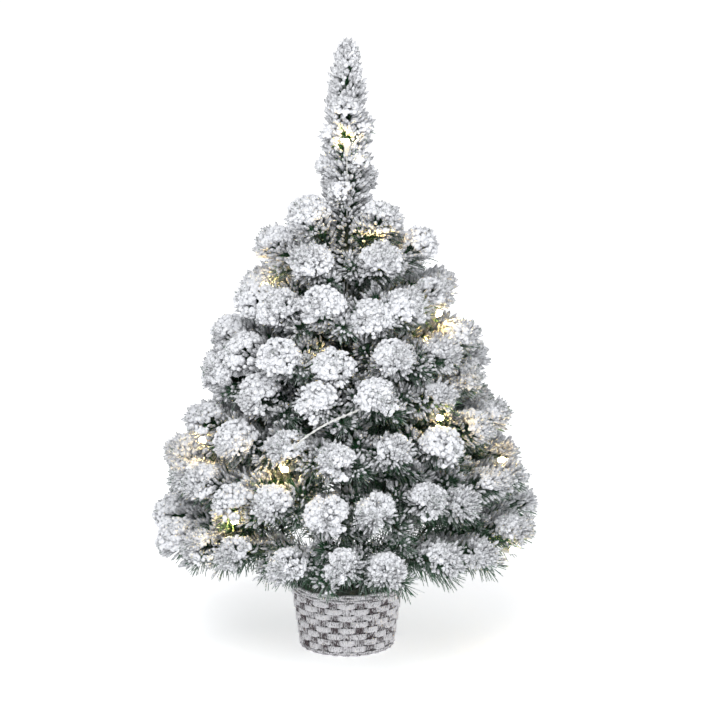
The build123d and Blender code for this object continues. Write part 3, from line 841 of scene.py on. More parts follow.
def foliage_tree(name, flock):
    """Needles raked round lines of twig, or the flock that covers their outer ends."""
    wiring = Wiring(name)
    wiring.socket("Spacing", "NodeSocketFloat", 0.0002)
    wiring.socket("Needle Length", "NodeSocketFloat", 0.025)
    wiring.socket("Needle Width", "NodeSocketFloat", 0.001)
    wiring.socket("Flock Radius", "NodeSocketFloat", 0.002)
    wiring.socket("Flock Share", "NodeSocketFloat", 0.5)
    wiring.socket("Unevenness", "NodeSocketFloat", 0.002)
    wiring.socket("Seed", "NodeSocketInt", 1)
    wiring.socket("Lamp Room", "NodeSocketFloat", 0.008)
    wiring.socket("Lamps", "NodeSocketObject")
    wiring.socket("Material", "NodeSocketMaterial")
    seed = wiring.value("Seed")

    curve = wiring.node("GeometryNodeMeshToCurve", {"Mesh": wiring.value("Geometry")}).outputs["Curve"]
    dots = wiring.node("GeometryNodeCurveToPoints", {"Curve": curve}, mode="LENGTH")
    wiring.tree.links.new(wiring.value("Spacing"), dots.inputs["Length"])
    tangent = dots.outputs["Tangent"]

    turn = wiring.random(0.0, 2 * math.pi, seed)
    radial = wiring.node(
        "ShaderNodeVectorRotate",
        {"Vector": dots.outputs["Normal"], "Axis": tangent, "Angle": turn},
        rotation_type="AXIS_ANGLE",
    ).outputs[0]
    rake = wiring.random(
        wiring.attribute("rake_low"), wiring.attribute("rake_high"), wiring.maths("ADD", seed, 1.0)
    )
    direction = wiring.vector(
        "ADD",
        wiring.scale(tangent, wiring.maths("COSINE", rake)),
        wiring.scale(radial, wiring.maths("SINE", rake)),
    )
    jitter = wiring.random(0.78, 1.08, wiring.maths("ADD", seed, 2.0))
    length = wiring.maths(
        "MULTIPLY",
        wiring.maths("MULTIPLY", wiring.value("Needle Length"), wiring.attribute("needle_scale")),
        jitter,
    )
    chosen = wiring.node(
        "FunctionNodeCompare",
        {
            0: wiring.random(0.0, 1.0, wiring.maths("ADD", seed, 3.0)),
            1: wiring.attribute("density"),
        },
        data_type="FLOAT",
        operation="LESS_THAN",
    ).outputs[0]
    bulbs = wiring.node(
        "GeometryNodeObjectInfo", {"Object": wiring.value("Lamps")}, transform_space="ORIGINAL"
    ).outputs["Geometry"]
    tip = wiring.vector(
        "ADD",
        wiring.node("GeometryNodeInputPosition").outputs[0],
        wiring.scale(direction, wiring.maths("MULTIPLY", length, 0.8)),
    )
    near = wiring.node(
        "GeometryNodeProximity", {"Geometry": bulbs, "Sample Position": tip}, target_element="POINTS"
    ).outputs["Distance"]
    clear = wiring.node(
        "FunctionNodeCompare", {0: near, 1: wiring.value("Lamp Room")},
        data_type="FLOAT", operation="GREATER_THAN",
    ).outputs[0]
    kept = wiring.node("FunctionNodeBooleanMath", {0: chosen, 1: clear}, operation="AND").outputs[0]
    facing = wiring.node("FunctionNodeAlignRotationToVector", {"Vector": direction}, axis="Z").outputs[0]

    if not flock:
        needle = wiring.node(
            "GeometryNodeMeshCone",
            {"Vertices": 3, "Radius Top": 0.36, "Radius Bottom": 0.5, "Depth": 1.0},
            fill_type="NGON",
        ).outputs["Mesh"]
        size = wiring.xyz(wiring.value("Needle Width"), wiring.value("Needle Width"), length)
        placed = wiring.node(
            "GeometryNodeInstanceOnPoints",
            {
                "Points": dots.outputs["Points"],
                "Selection": kept,
                "Instance": needle,
                "Rotation": facing,
                "Scale": size,
            },
        ).outputs[0]
        real = wiring.node("GeometryNodeRealizeInstances", {0: placed}).outputs[0]
        bend = wiring.node(
            "ShaderNodeTexNoise",
            {"Vector": wiring.node("GeometryNodeInputPosition").outputs[0], "Scale": 90.0, "Detail": 1.0},
        ).outputs["Color"]
        shifted = wiring.node(
            "GeometryNodeSetPosition",
            {
                "Geometry": real,
                "Offset": wiring.scale(wiring.vector("SUBTRACT", bend, (0.5, 0.5, 0.5)), 3.0 * MM),
            },
        ).outputs[0]
        done = wiring.node(
            "GeometryNodeSetMaterial", {"Geometry": shifted, "Material": wiring.value("Material")}
        )
        wiring.finish(done.outputs[0])
        return wiring

    place = wiring.node("GeometryNodeInputPosition").outputs[0]
    outward = wiring.vector("NORMALIZE", wiring.vector("MULTIPLY", place, (1.0, 1.0, 0.0)))
    snowy = wiring.maths(
        "ADD",
        wiring.maths("MULTIPLY", wiring.dot(direction, outward), 0.62),
        wiring.dot(direction, (-0.3, 0.0, 0.8)),
    )
    patch = wiring.node(
        "ShaderNodeTexNoise", {"Vector": place, "Scale": 38.0, "Detail": 2.0}
    ).outputs["Fac"]
    cover = wiring.maths("ADD", snowy, wiring.maths("MULTIPLY", wiring.maths("SUBTRACT", patch, 0.5), 1.4))
    cover = wiring.maths("MULTIPLY", wiring.maths("ADD", cover, 0.12), wiring.attribute("snow"))
    cover = wiring.maths("MINIMUM", cover, 1.0)
    covered = wiring.node(
        "FunctionNodeCompare", {0: cover, 1: 0.2}, data_type="FLOAT", operation="GREATER_THAN"
    ).outputs[0]
    both = wiring.node("FunctionNodeBooleanMath", {0: kept, 1: covered}, operation="AND").outputs[0]

    plump = wiring.random(0.75, 1.2, wiring.maths("ADD", seed, 4.0))
    thick = wiring.maths(
        "MULTIPLY",
        wiring.maths("MULTIPLY", wiring.value("Flock Radius"), plump),
        wiring.maths("ADD", 0.55, wiring.maths("MULTIPLY", cover, 0.45)),
    )
    cover_length = wiring.maths(
        "MULTIPLY",
        wiring.maths("MULTIPLY", length, wiring.value("Flock Share")),
        wiring.maths("ADD", 0.6, wiring.maths("MULTIPLY", cover, 0.4)),
    )
    back = wiring.maths("MULTIPLY", cover_length, 0.46)
    moved = wiring.node(
        "GeometryNodeSetPosition",
        {
            "Geometry": dots.outputs["Points"],
            "Offset": wiring.scale(direction, wiring.maths("SUBTRACT", length, back)),
        },
    ).outputs[0]
    crumb = wiring.node(
        "GeometryNodeMeshUVSphere", {"Segments": 5, "Rings": 3, "Radius": 1.0}
    ).outputs["Mesh"]
    placed = wiring.node(
        "GeometryNodeInstanceOnPoints",
        {
            "Points": moved,
            "Selection": both,
            "Instance": crumb,
            "Rotation": facing,
            "Scale": wiring.xyz(thick, thick, wiring.maths("MULTIPLY", cover_length, 0.5)),
        },
    ).outputs[0]
    real = wiring.node("GeometryNodeRealizeInstances", {0: placed}).outputs[0]
    rough = wiring.node(
        "ShaderNodeTexNoise",
        {"Vector": wiring.node("GeometryNodeInputPosition").outputs[0], "Scale": 330.0, "Detail": 2.0},
    ).outputs["Color"]
    crumpled = wiring.node(
        "GeometryNodeSetPosition",
        {
            "Geometry": real,
            "Offset": wiring.scale(
                wiring.vector("SUBTRACT", rough, (0.5, 0.5, 0.5)), wiring.value("Unevenness")
            ),
        },
    ).outputs[0]
    smooth = wiring.node("GeometryNodeSetShadeSmooth", {"Geometry": crumpled}).outputs[0]
    done = wiring.node("GeometryNodeSetMaterial", {"Geometry": smooth, "Material": wiring.value("Material")})
    wiring.finish(done.outputs[0])
    return wiring


def crust_tree(name):
    """Overlapping crumbs that make the crust on a twig's tip."""
    wiring = Wiring(name)
    wiring.socket("Unevenness", "NodeSocketFloat", 0.002)
    wiring.socket("Material", "NodeSocketMaterial")
    crumb = wiring.node("GeometryNodeMeshIcoSphere", {"Radius": 1.0, "Subdivisions": 1}).outputs["Mesh"]
    facing = wiring.node("GeometryNodeInputNamedAttribute", {"Name": "facing"}, data_type="FLOAT_VECTOR")
    turned = wiring.node(
        "FunctionNodeAlignRotationToVector", {"Vector": facing.outputs[0]}, axis="Z"
    ).outputs[0]
    size = wiring.attribute("size")
    placed = wiring.node(
        "GeometryNodeInstanceOnPoints",
        {
            "Points": wiring.value("Geometry"),
            "Instance": crumb,
            "Rotation": turned,
            "Scale": wiring.xyz(size, size, wiring.maths("MULTIPLY", size, 0.8)),
        },
    ).outputs[0]
    real = wiring.node("GeometryNodeRealizeInstances", {0: placed}).outputs[0]
    place = wiring.node("GeometryNodeInputPosition").outputs[0]
    rough = wiring.node(
        "ShaderNodeTexNoise", {"Vector": place, "Scale": 420.0, "Detail": 3.0}
    ).outputs["Color"]
    crumpled = wiring.node(
        "GeometryNodeSetPosition",
        {
            "Geometry": real,
            "Offset": wiring.scale(
                wiring.vector("SUBTRACT", rough, (0.5, 0.5, 0.5)), wiring.value("Unevenness")
            ),
        },
    ).outputs[0]
    smooth = wiring.node("GeometryNodeSetShadeSmooth", {"Geometry": crumpled}).outputs[0]
    done = wiring.node("GeometryNodeSetMaterial", {"Geometry": smooth, "Material": wiring.value("Material")})
    wiring.finish(done.outputs[0])
    return wiring


def tube_tree(name):
    """Round strands along lines of edges, with capped ends."""
    wiring = Wiring(name)
    wiring.socket("Radius", "NodeSocketFloat", 0.001)
    wiring.socket("Sides", "NodeSocketInt", 8)
    wiring.socket("Material", "NodeSocketMaterial")
    curve = wiring.node("GeometryNodeMeshToCurve", {"Mesh": wiring.value("Geometry")}).outputs["Curve"]
    ring = wiring.node(
        "GeometryNodeCurvePrimitiveCircle",
        {"Resolution": wiring.value("Sides"), "Radius": wiring.value("Radius")},
    ).outputs["Curve"]
    tube = wiring.node(
        "GeometryNodeCurveToMesh", {"Curve": curve, "Profile Curve": ring, "Fill Caps": True}
    ).outputs[0]
    smooth = wiring.node("GeometryNodeSetShadeSmooth", {"Geometry": tube}).outputs[0]
    done = wiring.node("GeometryNodeSetMaterial", {"Geometry": smooth, "Material": wiring.value("Material")})
    wiring.finish(done.outputs[0])
    return wiring


def tubes(name, paths, radius, sides, material, closed=False):
    """Round strands along lists of points, as one mesh."""
    mesh = bpy.data.meshes.new(name + "_paths")
    points = []
    edges = []
    for path in paths:
        base = len(points)
        points.extend(path)
        edges.extend((base + step, base + step + 1) for step in range(len(path) - 1))
        if closed:
            edges.append((base + len(path) - 1, base))
    mesh.from_pydata(points, edges, [])
    lined = bpy.data.objects.new(name + "_paths", mesh)
    bpy.context.scene.collection.objects.link(lined)
    inputs = {"Radius": radius, "Sides": sides, "Material": material}
    made = grow(lined, Trees.get("tubes", tube_tree), name, inputs)
    bpy.data.objects.remove(lined)
    return made


def grow(lined, wiring, name, inputs):
    """Evaluate a node tree on an object and return the result as a plain mesh."""
    modifier = lined.modifiers.new("grow", "NODES")
    modifier.node_group = wiring.tree
    for label, value in inputs.items():
        modifier[wiring.names[label]] = value
    bpy.context.view_layer.update()
    evaluated = lined.evaluated_get(bpy.context.evaluated_depsgraph_get())
    mesh = bpy.data.meshes.new_from_object(evaluated)
    mesh.name = name
    lined.modifiers.remove(modifier)
    for attribute in [layer.name for layer in mesh.attributes]:
        if attribute in LINE_ATTRIBUTES:
            mesh.attributes.remove(mesh.attributes[attribute])
    return mesh


def bulb_marks():
    """Points along every bulb and the front of its holder, for keeping needles off them."""
    if "bulb_marks" not in bpy.data.objects:
        mesh = bpy.data.meshes.new("bulb_marks")
        points = [lamp.bulb - lamp.direction * back * MM for lamp in LAMPS for back in (-4.0, 2.0, 8.0)]
        mesh.from_pydata(points, [], [])
        marks = bpy.data.objects.new("bulb_marks", mesh)
        bpy.context.scene.collection.objects.link(marks)
    return bpy.data.objects["bulb_marks"]


def foliage_inputs(sizes, material, seed):
    return {
        "Lamps": bulb_marks(),
        "Lamp Room": LAMP_ROOM,
        "Spacing": sizes.needle_spacing,
        "Needle Length": sizes.needle_length,
        "Needle Width": sizes.needle_width,
        "Flock Radius": sizes.flock_radius,
        "Flock Share": sizes.flock_share,
        "Unevenness": sizes.flock_roughness,
        "Seed": seed,
        "Material": material,
    }


def wire_mesh(name, lines, radius, material):
    """Taped wires along the lines, as closed six-sided tubes."""
    curve = bpy.data.curves.new(name, "CURVE")
    curve.dimensions = "3D"
    curve.bevel_depth = radius
    curve.bevel_resolution = 1
    curve.use_fill_caps = True
    for line in lines:
        spline = curve.splines.new("POLY")
        spline.points.add(len(line.points) - 1)
        for knot, point in zip(spline.points, line.points):
            knot.co = (*point, 1.0)
    holder = bpy.data.objects.new(name, curve)
    bpy.context.scene.collection.objects.link(holder)
    bpy.context.view_layer.update()
    mesh = bpy.data.meshes.new_from_object(holder.evaluated_get(bpy.context.evaluated_depsgraph_get()))
    bpy.data.objects.remove(holder)
    mesh.name = name
    mesh.materials.clear()
    mesh.materials.append(material)
    return mesh


class Finishes:
    """Materials made once and shared by the operators."""

    made = {}
    makers = {
        "flock": flock_finish,
        "rime": rime_finish,
        "needle": needle_finish,
        "wire": wire_finish,
        "plywood": plywood_finish,
        "tape": tape_finish,
        "lead": lead_finish,
        "holder": holder_finish,
        "bulb": bulb_finish,
        "contact": contact_finish,
    }

    @classmethod
    def get(cls, name):
        if name not in cls.made:
            colours = bpy.context.scene.tree_colours
            if name in GRAINED:
                cls.made[name] = grained_finish(*GRAINED[name])
            elif name in WASHED:
                cls.made[name] = washed_finish(colours, *WASHED[name])
            else:
                cls.made[name] = cls.makers[name](colours)
        return cls.made[name]


class Trees:
    """Node trees made once and shared by the branches."""

    made = {}

    @classmethod
    def get(cls, name, maker, *details):
        if name not in cls.made:
            cls.made[name] = maker(name, *details)
        return cls.made[name]


CRUST_CRUMBS = 330
CRUST_RADIUS = 21.5 * MM
CRUST_SIZE = (1.4 * MM, 3.1 * MM)
CRUST_EDGE = 0.3
CRUST_BACK = 3.0 * MM
CRUST_DRIFT = 2.5 * MM
BLOWN_OFF = 0.5  # share of the crust missing on twigs that point right, out of the spray
INNER_EVERY = 5
INNER_SIZE = 4.6 * MM
LEADER_CRUMBS = 620


def crust_points(twig, rng, lamps, share=1.0):
    """Places, facings and sizes of the crumbs on the upper front of a twig's tip."""
    crumbs = []
    share *= rng.uniform(0.72, 1.12) * (1.0 - BLOWN_OFF * max(0.0, twig.direction.x) ** 2)
    drift = Vector([rng.uniform(-CRUST_DRIFT, CRUST_DRIFT) for _ in range(3)])
    centre = twig.wire_end - twig.direction * CRUST_BACK + drift
    lean = (twig.direction * 0.62 + UP * rng.uniform(0.55, 0.85)).normalized()
    edge = CRUST_EDGE + rng.uniform(-0.12, 0.18)
    phase = [rng.uniform(0, 2 * math.pi) for _ in range(3)]
    for number in range(int(CRUST_CRUMBS * share)):
        facing = Vector([rng.gauss(0, 1) for _ in range(3)]).normalized()
        if facing.dot(lean) < 0:
            facing = -facing
        turn = math.atan2(facing.dot(lean.cross(UP).normalized()), facing.dot(UP))
        ragged = 0.3 * sum(math.sin((2 + step) * turn + phase[step]) for step in range(3))
        if facing.dot(lean) < edge + ragged:
            continue
        bulge = 1.0 + 0.12 * facing.dot(twig.direction)
        out = CRUST_RADIUS * min(1.0, share) ** 0.5 * rng.uniform(0.82, 1.04) * bulge
        place = centre + facing * out
        if any((place - lamp).length < LAMP_ROOM for lamp in lamps):
            continue
        crumbs.append((place, facing, rng.uniform(*CRUST_SIZE)))
        if number % INNER_EVERY == 0:
            crumbs.append((centre + facing * out * 0.82, facing, INNER_SIZE * min(1.0, share) ** 0.5))
    return crumbs


def crust_mesh(name, crumbs):
    """A mesh of the crust's crumbs."""
    mesh = bpy.data.meshes.new(name + "_crumbs")
    mesh.from_pydata([place for place, _, _ in crumbs], [], [])
    facing = mesh.attributes.new("facing", "FLOAT_VECTOR", "POINT")
    facing.data.foreach_set("vector", [value for _, way, _ in crumbs for value in way])
    size = mesh.attributes.new("size", "FLOAT", "POINT")
    size.data.foreach_set("value", [width for _, _, width in crumbs])
    dots = bpy.data.objects.new(name + "_crumbs", mesh)
    bpy.context.scene.collection.objects.link(dots)
    sizes = bpy.context.scene.tree_foliage
    made = grow(
        dots, Trees.get("crust", crust_tree), name,
        {"Unevenness": sizes.crust_roughness, "Material": Finishes.get("flock")},
    )
    bpy.data.objects.remove(dots)
    return made


def dress(name, body, lines, replaced, seed, crumbs=()):
    """Wires, needles, flock and crust on one body's lines."""
    sizes = bpy.context.scene.tree_foliage
    lined = line_object(name + "_lines", lines)
    needles = grow(
        lined, Trees.get("needles", foliage_tree, False), name + "_needles",
        foliage_inputs(sizes, Finishes.get("needle"), seed),
    )
    flock = grow(
        lined, Trees.get("flock", foliage_tree, True), name + "_flock",
        foliage_inputs(sizes, Finishes.get("rime"), seed),
    )
    bpy.data.objects.remove(lined)
    wires = wire_mesh(name + "_wires", lines, sizes.wire_radius, Finishes.get("wire"))
    new_piece(name + "_wires", wires, body, replaced)
    new_piece(name + "_needles", needles, body)
    new_piece(name + "_flock", flock, body)
    if crumbs:
        new_piece(name + "_crust", crust_mesh(name + "_crust", crumbs), body)


def polished(node, finish, width=0.0, segments=2, unevenness=0.0):
    """The CAD node's own shape with softened edges and its own material."""
    mesh = bmesh.new()
    mesh.from_mesh(frame["nodes"][node].data)
    bmesh.ops.remove_doubles(mesh, verts=mesh.verts, dist=1e-6)
    bmesh.ops.dissolve_limit(mesh, angle_limit=math.radians(1.0), verts=mesh.verts, edges=mesh.edges)
    made = bpy.data.meshes.new(node + "_shape")
    mesh.to_mesh(made)
    mesh.free()
    work = bpy.data.objects.new(node + "_shape", made)
    bpy.context.scene.collection.objects.link(work)
    if width:
        bevel = work.modifiers.new("edges", "BEVEL")
        bevel.width = width
        bevel.segments = segments
        bevel.limit_method = "ANGLE"
        bevel.angle_limit = math.radians(35.0)
    bpy.context.view_layer.update()
    mesh = bpy.data.meshes.new_from_object(work.evaluated_get(bpy.context.evaluated_depsgraph_get()))
    bpy.data.objects.remove(work)
    for vertex in mesh.vertices if unevenness else ():
        vertex.co += noise.noise_vector(vertex.co * 160.0) * unevenness
    mesh.materials.clear()
    mesh.materials.append(Finishes.get(finish))
    mesh.shade_smooth()
    mesh.set_sharp_from_angle(angle=math.radians(38.0))
    return mesh


def lathe(rings, origin, direction, sides):
    """Vertices and faces of a closed turned shape; rings are (height, radius) from foot to end."""
    across = direction.orthogonal().normalized()
    other = direction.cross(across)
    points = [origin + direction * rings[0][0]]
    faces = []
    for height, radius in rings:
        for side in range(sides):
            angle = 2 * math.pi * side / sides
            points.append(
                origin + direction * height + (across * math.cos(angle) + other * math.sin(angle)) * radius
            )
    points.append(origin + direction * rings[-1][0])
    last = len(points) - 1
    for side in range(sides):
        following = (side + 1) % sides
        faces.append((0, 1 + following, 1 + side))
        for ring in range(len(rings) - 1):
            low = 1 + ring * sides
            high = low + sides
            faces.append((low + side, low + following, high + following, high + side))
        top = 1 + (len(rings) - 1) * sides
        faces.append((top + side, top + following, last))
    return points, faces


def turned_mesh(name, shapes, finish):
    """One mesh of several turned shapes."""
    points = []
    faces = []
    for shape_points, shape_faces in shapes:
        base = len(points)
        points.extend(shape_points)
        faces.extend(tuple(base + corner for corner in face) for face in shape_faces)
    mesh = bpy.data.meshes.new(name)
    mesh.from_pydata(points, [], faces)
    mesh.materials.append(Finishes.get(finish))
    mesh.shade_smooth()
    mesh.set_sharp_from_angle(angle=math.radians(50.0))
    return mesh


def softened(path, rounds=3):
    """Cut the corners of a path."""
    for _ in range(rounds):
        cut = [path[0]]
        for before, after in zip(path, path[1:]):
            cut.extend((before.lerp(after, 0.25), before.lerp(after, 0.75)))
        path = cut + [path[-1]]
    return path


def stepped(path, step):
    """Points along a path at even steps."""
    made = [path[0]]
    left = step
    for before, after in zip(path, path[1:]):
        run = (after - before).length
        travelled = left
        while travelled <= run:
            made.append(before.lerp(after, travelled / run))
            travelled += step
        left = travelled - run
    return made


def twisted_pair(path, offset, pitch, step=1.3 * MM):
    """Two strands wound round each other along a path."""
    points = stepped(softened(path), step)
    strands = ([], [])
    across = (points[1] - points[0]).orthogonal().normalized()
    for number, point in enumerate(points):
        ahead = points[min(number + 1, len(points) - 1)] - points[max(number - 1, 0)]
        ahead.normalize()
        across = (across - ahead * across.dot(ahead)).normalized()
        other = ahead.cross(across)
        turn = 2 * math.pi * number * step / pitch
        sideways = (across * math.cos(turn) + other * math.sin(turn)) * offset
        strands[0].append(point + sideways)
        strands[1].append(point - sideways)
    return strands


class TREE_OT_stage(bpy.types.Operator):
    """Floor, soft studio light and camera"""

    bl_idname = "tree.stage"
    bl_label = "Stage"
    floor_half = 30.0

    def execute(self, context):
        studio = context.scene.tree_studio
        context.scene.view_settings.view_transform = "Standard"
        world = bpy.data.worlds.new("soft surround")
        world.use_nodes = True
        world.node_tree.nodes["Background"].inputs["Color"].default_value = (0.95, 0.97, 1.0, 1.0)
        world.node_tree.nodes["Background"].inputs["Strength"].default_value = studio.sky_strength
        context.scene.world = world

        floor_mesh = bpy.data.meshes.new("floor")
        half = self.floor_half
        corners = [(-half, -half, 0), (half, -half, 0), (half, half, 0), (-half, half, 0)]
        floor_mesh.from_pydata(corners, [], [(0, 1, 2, 3)])
        paper = Shader("white paper", colour=(0.93, 0.93, 0.94), roughness=0.85)
        paper.surface.inputs["Emission Color"].default_value = (1.0, 1.0, 1.0, 1.0)
        paper.surface.inputs["Emission Strength"].default_value = studio.floor_glow
        paper.bump(paper.noise(300.0), 0.05 * MM, 0.1)
        floor_mesh.materials.append(paper.material)
        floor = bpy.data.objects.new("floor", floor_mesh)
        context.scene.collection.objects.link(floor)

        self.soft_box("key light", (-0.55, -2.4, 2.6), 2.1, studio.key_power)
        self.soft_box("fill light", (2.2, -1.6, 1.2), 1.8, studio.fill_power)
        self.soft_box("back light", (0.4, 2.4, 2.2), 1.8, studio.fill_power)

        camera = bpy.data.cameras.new("camera")
        reach = math.hypot(studio.camera_distance, studio.camera_height - studio.aim_height)
        camera.lens = camera.sensor_width * reach / studio.frame_width
        camera.clip_end = 50.0
        seat = bpy.data.objects.new("camera", camera)
        context.scene.collection.objects.link(seat)
        seat.location = (studio.aim_side, -studio.camera_distance, studio.camera_height)
        aim = Vector((studio.aim_side, 0.0, studio.aim_height)) - seat.location
        seat.rotation_euler = aim.to_track_quat("-Z", "Y").to_euler()
        context.scene.camera = seat
        return {"FINISHED"}

    @staticmethod
    def soft_box(name, place, size, power):
        light = bpy.data.lights.new(name, "AREA")
        light.size = size
        light.energy = power
        lamp = bpy.data.objects.new(name, light)
        bpy.context.scene.collection.objects.link(lamp)
        lamp.location = place
        lamp.rotation_euler = (Vector((0.0, 0.0, 0.3)) - Vector(place)).to_track_quat("-Z", "Y").to_euler()


class TREE_OT_branches(bpy.types.Operator):
    """Wires, needles and flock of every folding branch"""

    bl_idname = "tree.branches"
    bl_label = "Folding branches"

    def execute(self, context):
        seed = context.scene.tree_foliage.seed
        for number, body in enumerate(BRANCHES):
            root, twigs = branch_twigs(body)
            rng = random.Random(seed + number)
            bulbs = [lamp.bulb for lamp in LAMPS if lamp.body == body]
            share = 0.75 + 1.2 * root.z
            crumbs = [crumb for twig in twigs for crumb in crust_points(twig, rng, bulbs, share)]
            snow = min(1.0, 0.5 + 1.4 * root.z)
            dress(body, body, branch_lines(root, twigs, rng, snow), (body,), seed + 10 * number, crumbs)
        return {"FINISHED"}


class TREE_OT_crown(bpy.types.Operator):
    """Fixed twigs of the crown and the tall leader"""

    bl_idname = "tree.crown"
    bl_label = "Crown and leader"

    def execute(self, context):
        seed = context.scene.tree_foliage.seed + 1000
        rng = random.Random(seed)
        lines = []
        crumbs = []
        bulbs = [lamp.bulb for lamp in LAMPS if lamp.body == "tree"]
        for twig in solid_twigs("crown_tips"):
            lines.append(tip_line(twig.start, twig.wire_end, 1.0, 1.0, 1.0, 0.1))
            lines.extend(side_sprigs(twig, rng, 0.8, 0.8)[:2])
            lines.extend(tip_cluster(twig, 1.0))
            crumbs.extend(crust_points(twig, rng, bulbs, 1.15))
        dress("crown", "tree", lines, ("crown_tips",), seed, crumbs)

        low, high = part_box("leader")
        foot = Vector((0.0, 0.0, low.z))
        top = Vector((0.0, 0.0, high.z - 17.0 * MM))
        leader = Line()
        leader.add(foot, 1.1, 46, 66, 0.6, 0.8)
        leader.add(foot.lerp(top, 0.3), 1.15, 40, 62, 0.75, 0.8)
        leader.add(foot.lerp(top, 0.7), 1.0, 32, 54, 0.7, 0.8)
        leader.add(foot.lerp(top, 0.93), 0.75, 20, 44, 0.7, 0.9)
        leader.add(top, 0.72, 0, 30, 0.8, 1.0)
        crumbs = leader_crust(foot, top, rng, bulbs)
        sprigs = []
        for number in range(9):
            share = 0.04 + 0.075 * number
            turn = math.radians(137.5 * number - 110)
            start = foot.lerp(top, share)
            rise = math.radians(48)
            length = (34.0 - 26.0 * share) * MM
            heading = Vector((math.cos(turn), math.sin(turn), math.tan(rise))).normalized()
            sprig = Twig(start, start + heading * (length + TIP_NEEDLE_ROOM))
            sprigs.append(tip_line(start, sprig.wire_end, 0.62, 0.9, 0.8, 0.3))
            crumbs.extend(crust_points(sprig, rng, bulbs, 0.32))
        dress("leader", "tree", [leader, *sprigs], ("leader",), seed + 50, crumbs)

        low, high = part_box("trunk_tape")
        trunk = Line()
        trunk.add(Vector((0, 0, low.z + 45 * MM)), 0.8, 60, 85, 0.1, 0.35)
        trunk.add(Vector((0, 0, low.z + 200 * MM)), 1.0, 60, 85, 0.35, 0.45)
        trunk.add(Vector((0, 0, high.z)), 1.0, 50, 80, 0.6, 0.7)
        trunk.add(foot + UP * 4 * MM, 1.0, 50, 75, 0.6, 0.9)
        dress("trunk_fill", "tree", [trunk], (), seed + 90)
        bpy.data.objects.remove(bulb_marks())
        return {"FINISHED"}


class TREE_OT_lamps(bpy.types.Operator):
    """Bulbs, holders and twisted leads of the light string"""

    bl_idname = "tree.lamps"
    bl_label = "Lamps"

    def execute(self, context):
        sizes = context.scene.tree_lamps
        for body in sorted({lamp.body for lamp in LAMPS}):
            lamps = [lamp for lamp in LAMPS if lamp.body == body]
            nodes = sorted({lamp.node for lamp in lamps})
            name = "crown" if body == "tree" else body
            bulbs = [lathe(self.bulb_rings(sizes), lamp.foot, lamp.direction, 20) for lamp in lamps]
            holders = [lathe(self.holder_rings(sizes), lamp.foot, lamp.direction, 24) for lamp in lamps]
            new_piece(name + "_bulbs", turned_mesh(name + "_bulbs", bulbs, "bulb"), body, nodes)
            new_piece(
                name + "_holders", turned_mesh(name + "_holders", holders, "holder"), body
            )
            strands = []
            for lamp in lamps:
                run = [lamp.inner, lamp.corner, lamp.foot + lamp.direction * 1.5 * MM]
                strands.extend(twisted_pair(run, sizes.lead_radius, 9.0 * MM))
            leads = tubes(name + "_leads", strands, sizes.lead_radius, 6, Finishes.get("lead"))
            new_piece(name + "_leads", leads, body)
        self.cable()
        self.slipped_lead()
        return {"FINISHED"}

    @staticmethod
    def holder_rings(sizes):
        """Tapered sleeve with grip rings, hollow where the bulb sits."""
        length = sizes.holder_length
        radius = sizes.holder_radius
        rings = [(0.0, 0.45 * radius), (0.4 * MM, 0.62 * radius), (1.2 * MM, 0.8 * radius)]
        for step in range(3):
            start = (2.2 + 1.7 * step) * MM
            rings += [
                (start, 0.86 * radius),
                (start + 0.25 * MM, 0.95 * radius),
                (start + 0.8 * MM, 0.95 * radius),
                (start + 1.05 * MM, 0.86 * radius),
            ]
        rings += [
            (0.72 * length, 0.92 * radius),
            (0.93 * length, radius),
            (length - 0.15 * MM, radius),
            (length, 0.95 * radius),
            (length - 0.1 * MM, 0.8 * radius),
        ]
        return rings

    @staticmethod
    def bulb_rings(sizes):
        """Round-nosed bulb with a small flange."""
        start = sizes.holder_length - 1.0 * MM
        end = sizes.holder_length + sizes.bulb_length
        radius = sizes.bulb_radius
        rings = [(start, 0.9 * radius), (start + 1.2 * MM, 0.98 * radius), (end - radius, radius)]
        for step in range(1, 7):
            angle = math.radians(90.0 * step / 7)
            rings.append((end - radius + radius * math.sin(angle), radius * math.cos(angle)))
        rings.append((end, 0.05 * radius))
        return rings

    @staticmethod
    def cable():
        new_piece(
            "light_cable_lead", polished("light_cable", "lead", unevenness=0.1 * MM), "tree",
            ("light_cable",),
        )

    @staticmethod
    def slipped_lead():
        """A length of lead that hangs free in front of a middle branch."""
        body = "tier4_branch_1"
        _, twigs = branch_twigs(body)
        upper = twigs[0].end.lerp(twigs[1].end, 0.35) + Vector((0.0, -10.0, -14.0)) * MM
        lower = twigs[0].end.lerp(twigs[0].start, 0.12) + Vector((-26.0, -14.0, -40.0)) * MM
        path = [twigs[1].end.lerp(twigs[1].start, 0.3), upper]
        path += sag(upper, lower, -3.0 * MM)
        path += [lower, lower.lerp(twigs[0].start, 0.35) - UP * 12 * MM, twigs[0].start]
        strands = twisted_pair(path, 0.55 * MM, 14.0 * MM)
        mesh = tubes("slipped_lead", strands, 0.7 * MM, 7, Finishes.get("lead"))
        for vertex in mesh.vertices:
            vertex.co += noise.noise_vector(vertex.co * 420.0) * 0.5 * MM
        new_piece("slipped_lead", mesh, body)


def ring_path(radius, height, sway, lift, waves, phase, count=192):
    """A wavy ring round the trunk's axis."""
    path = []
    for step in range(count):
        turn = 2 * math.pi * step / count
        out = radius + sway * math.sin(waves * turn + phase)
        path.append(
            Vector((
                out * math.cos(turn), out * math.sin(turn), height + lift * math.cos(waves * turn + phase),
            ))
        )
    return path


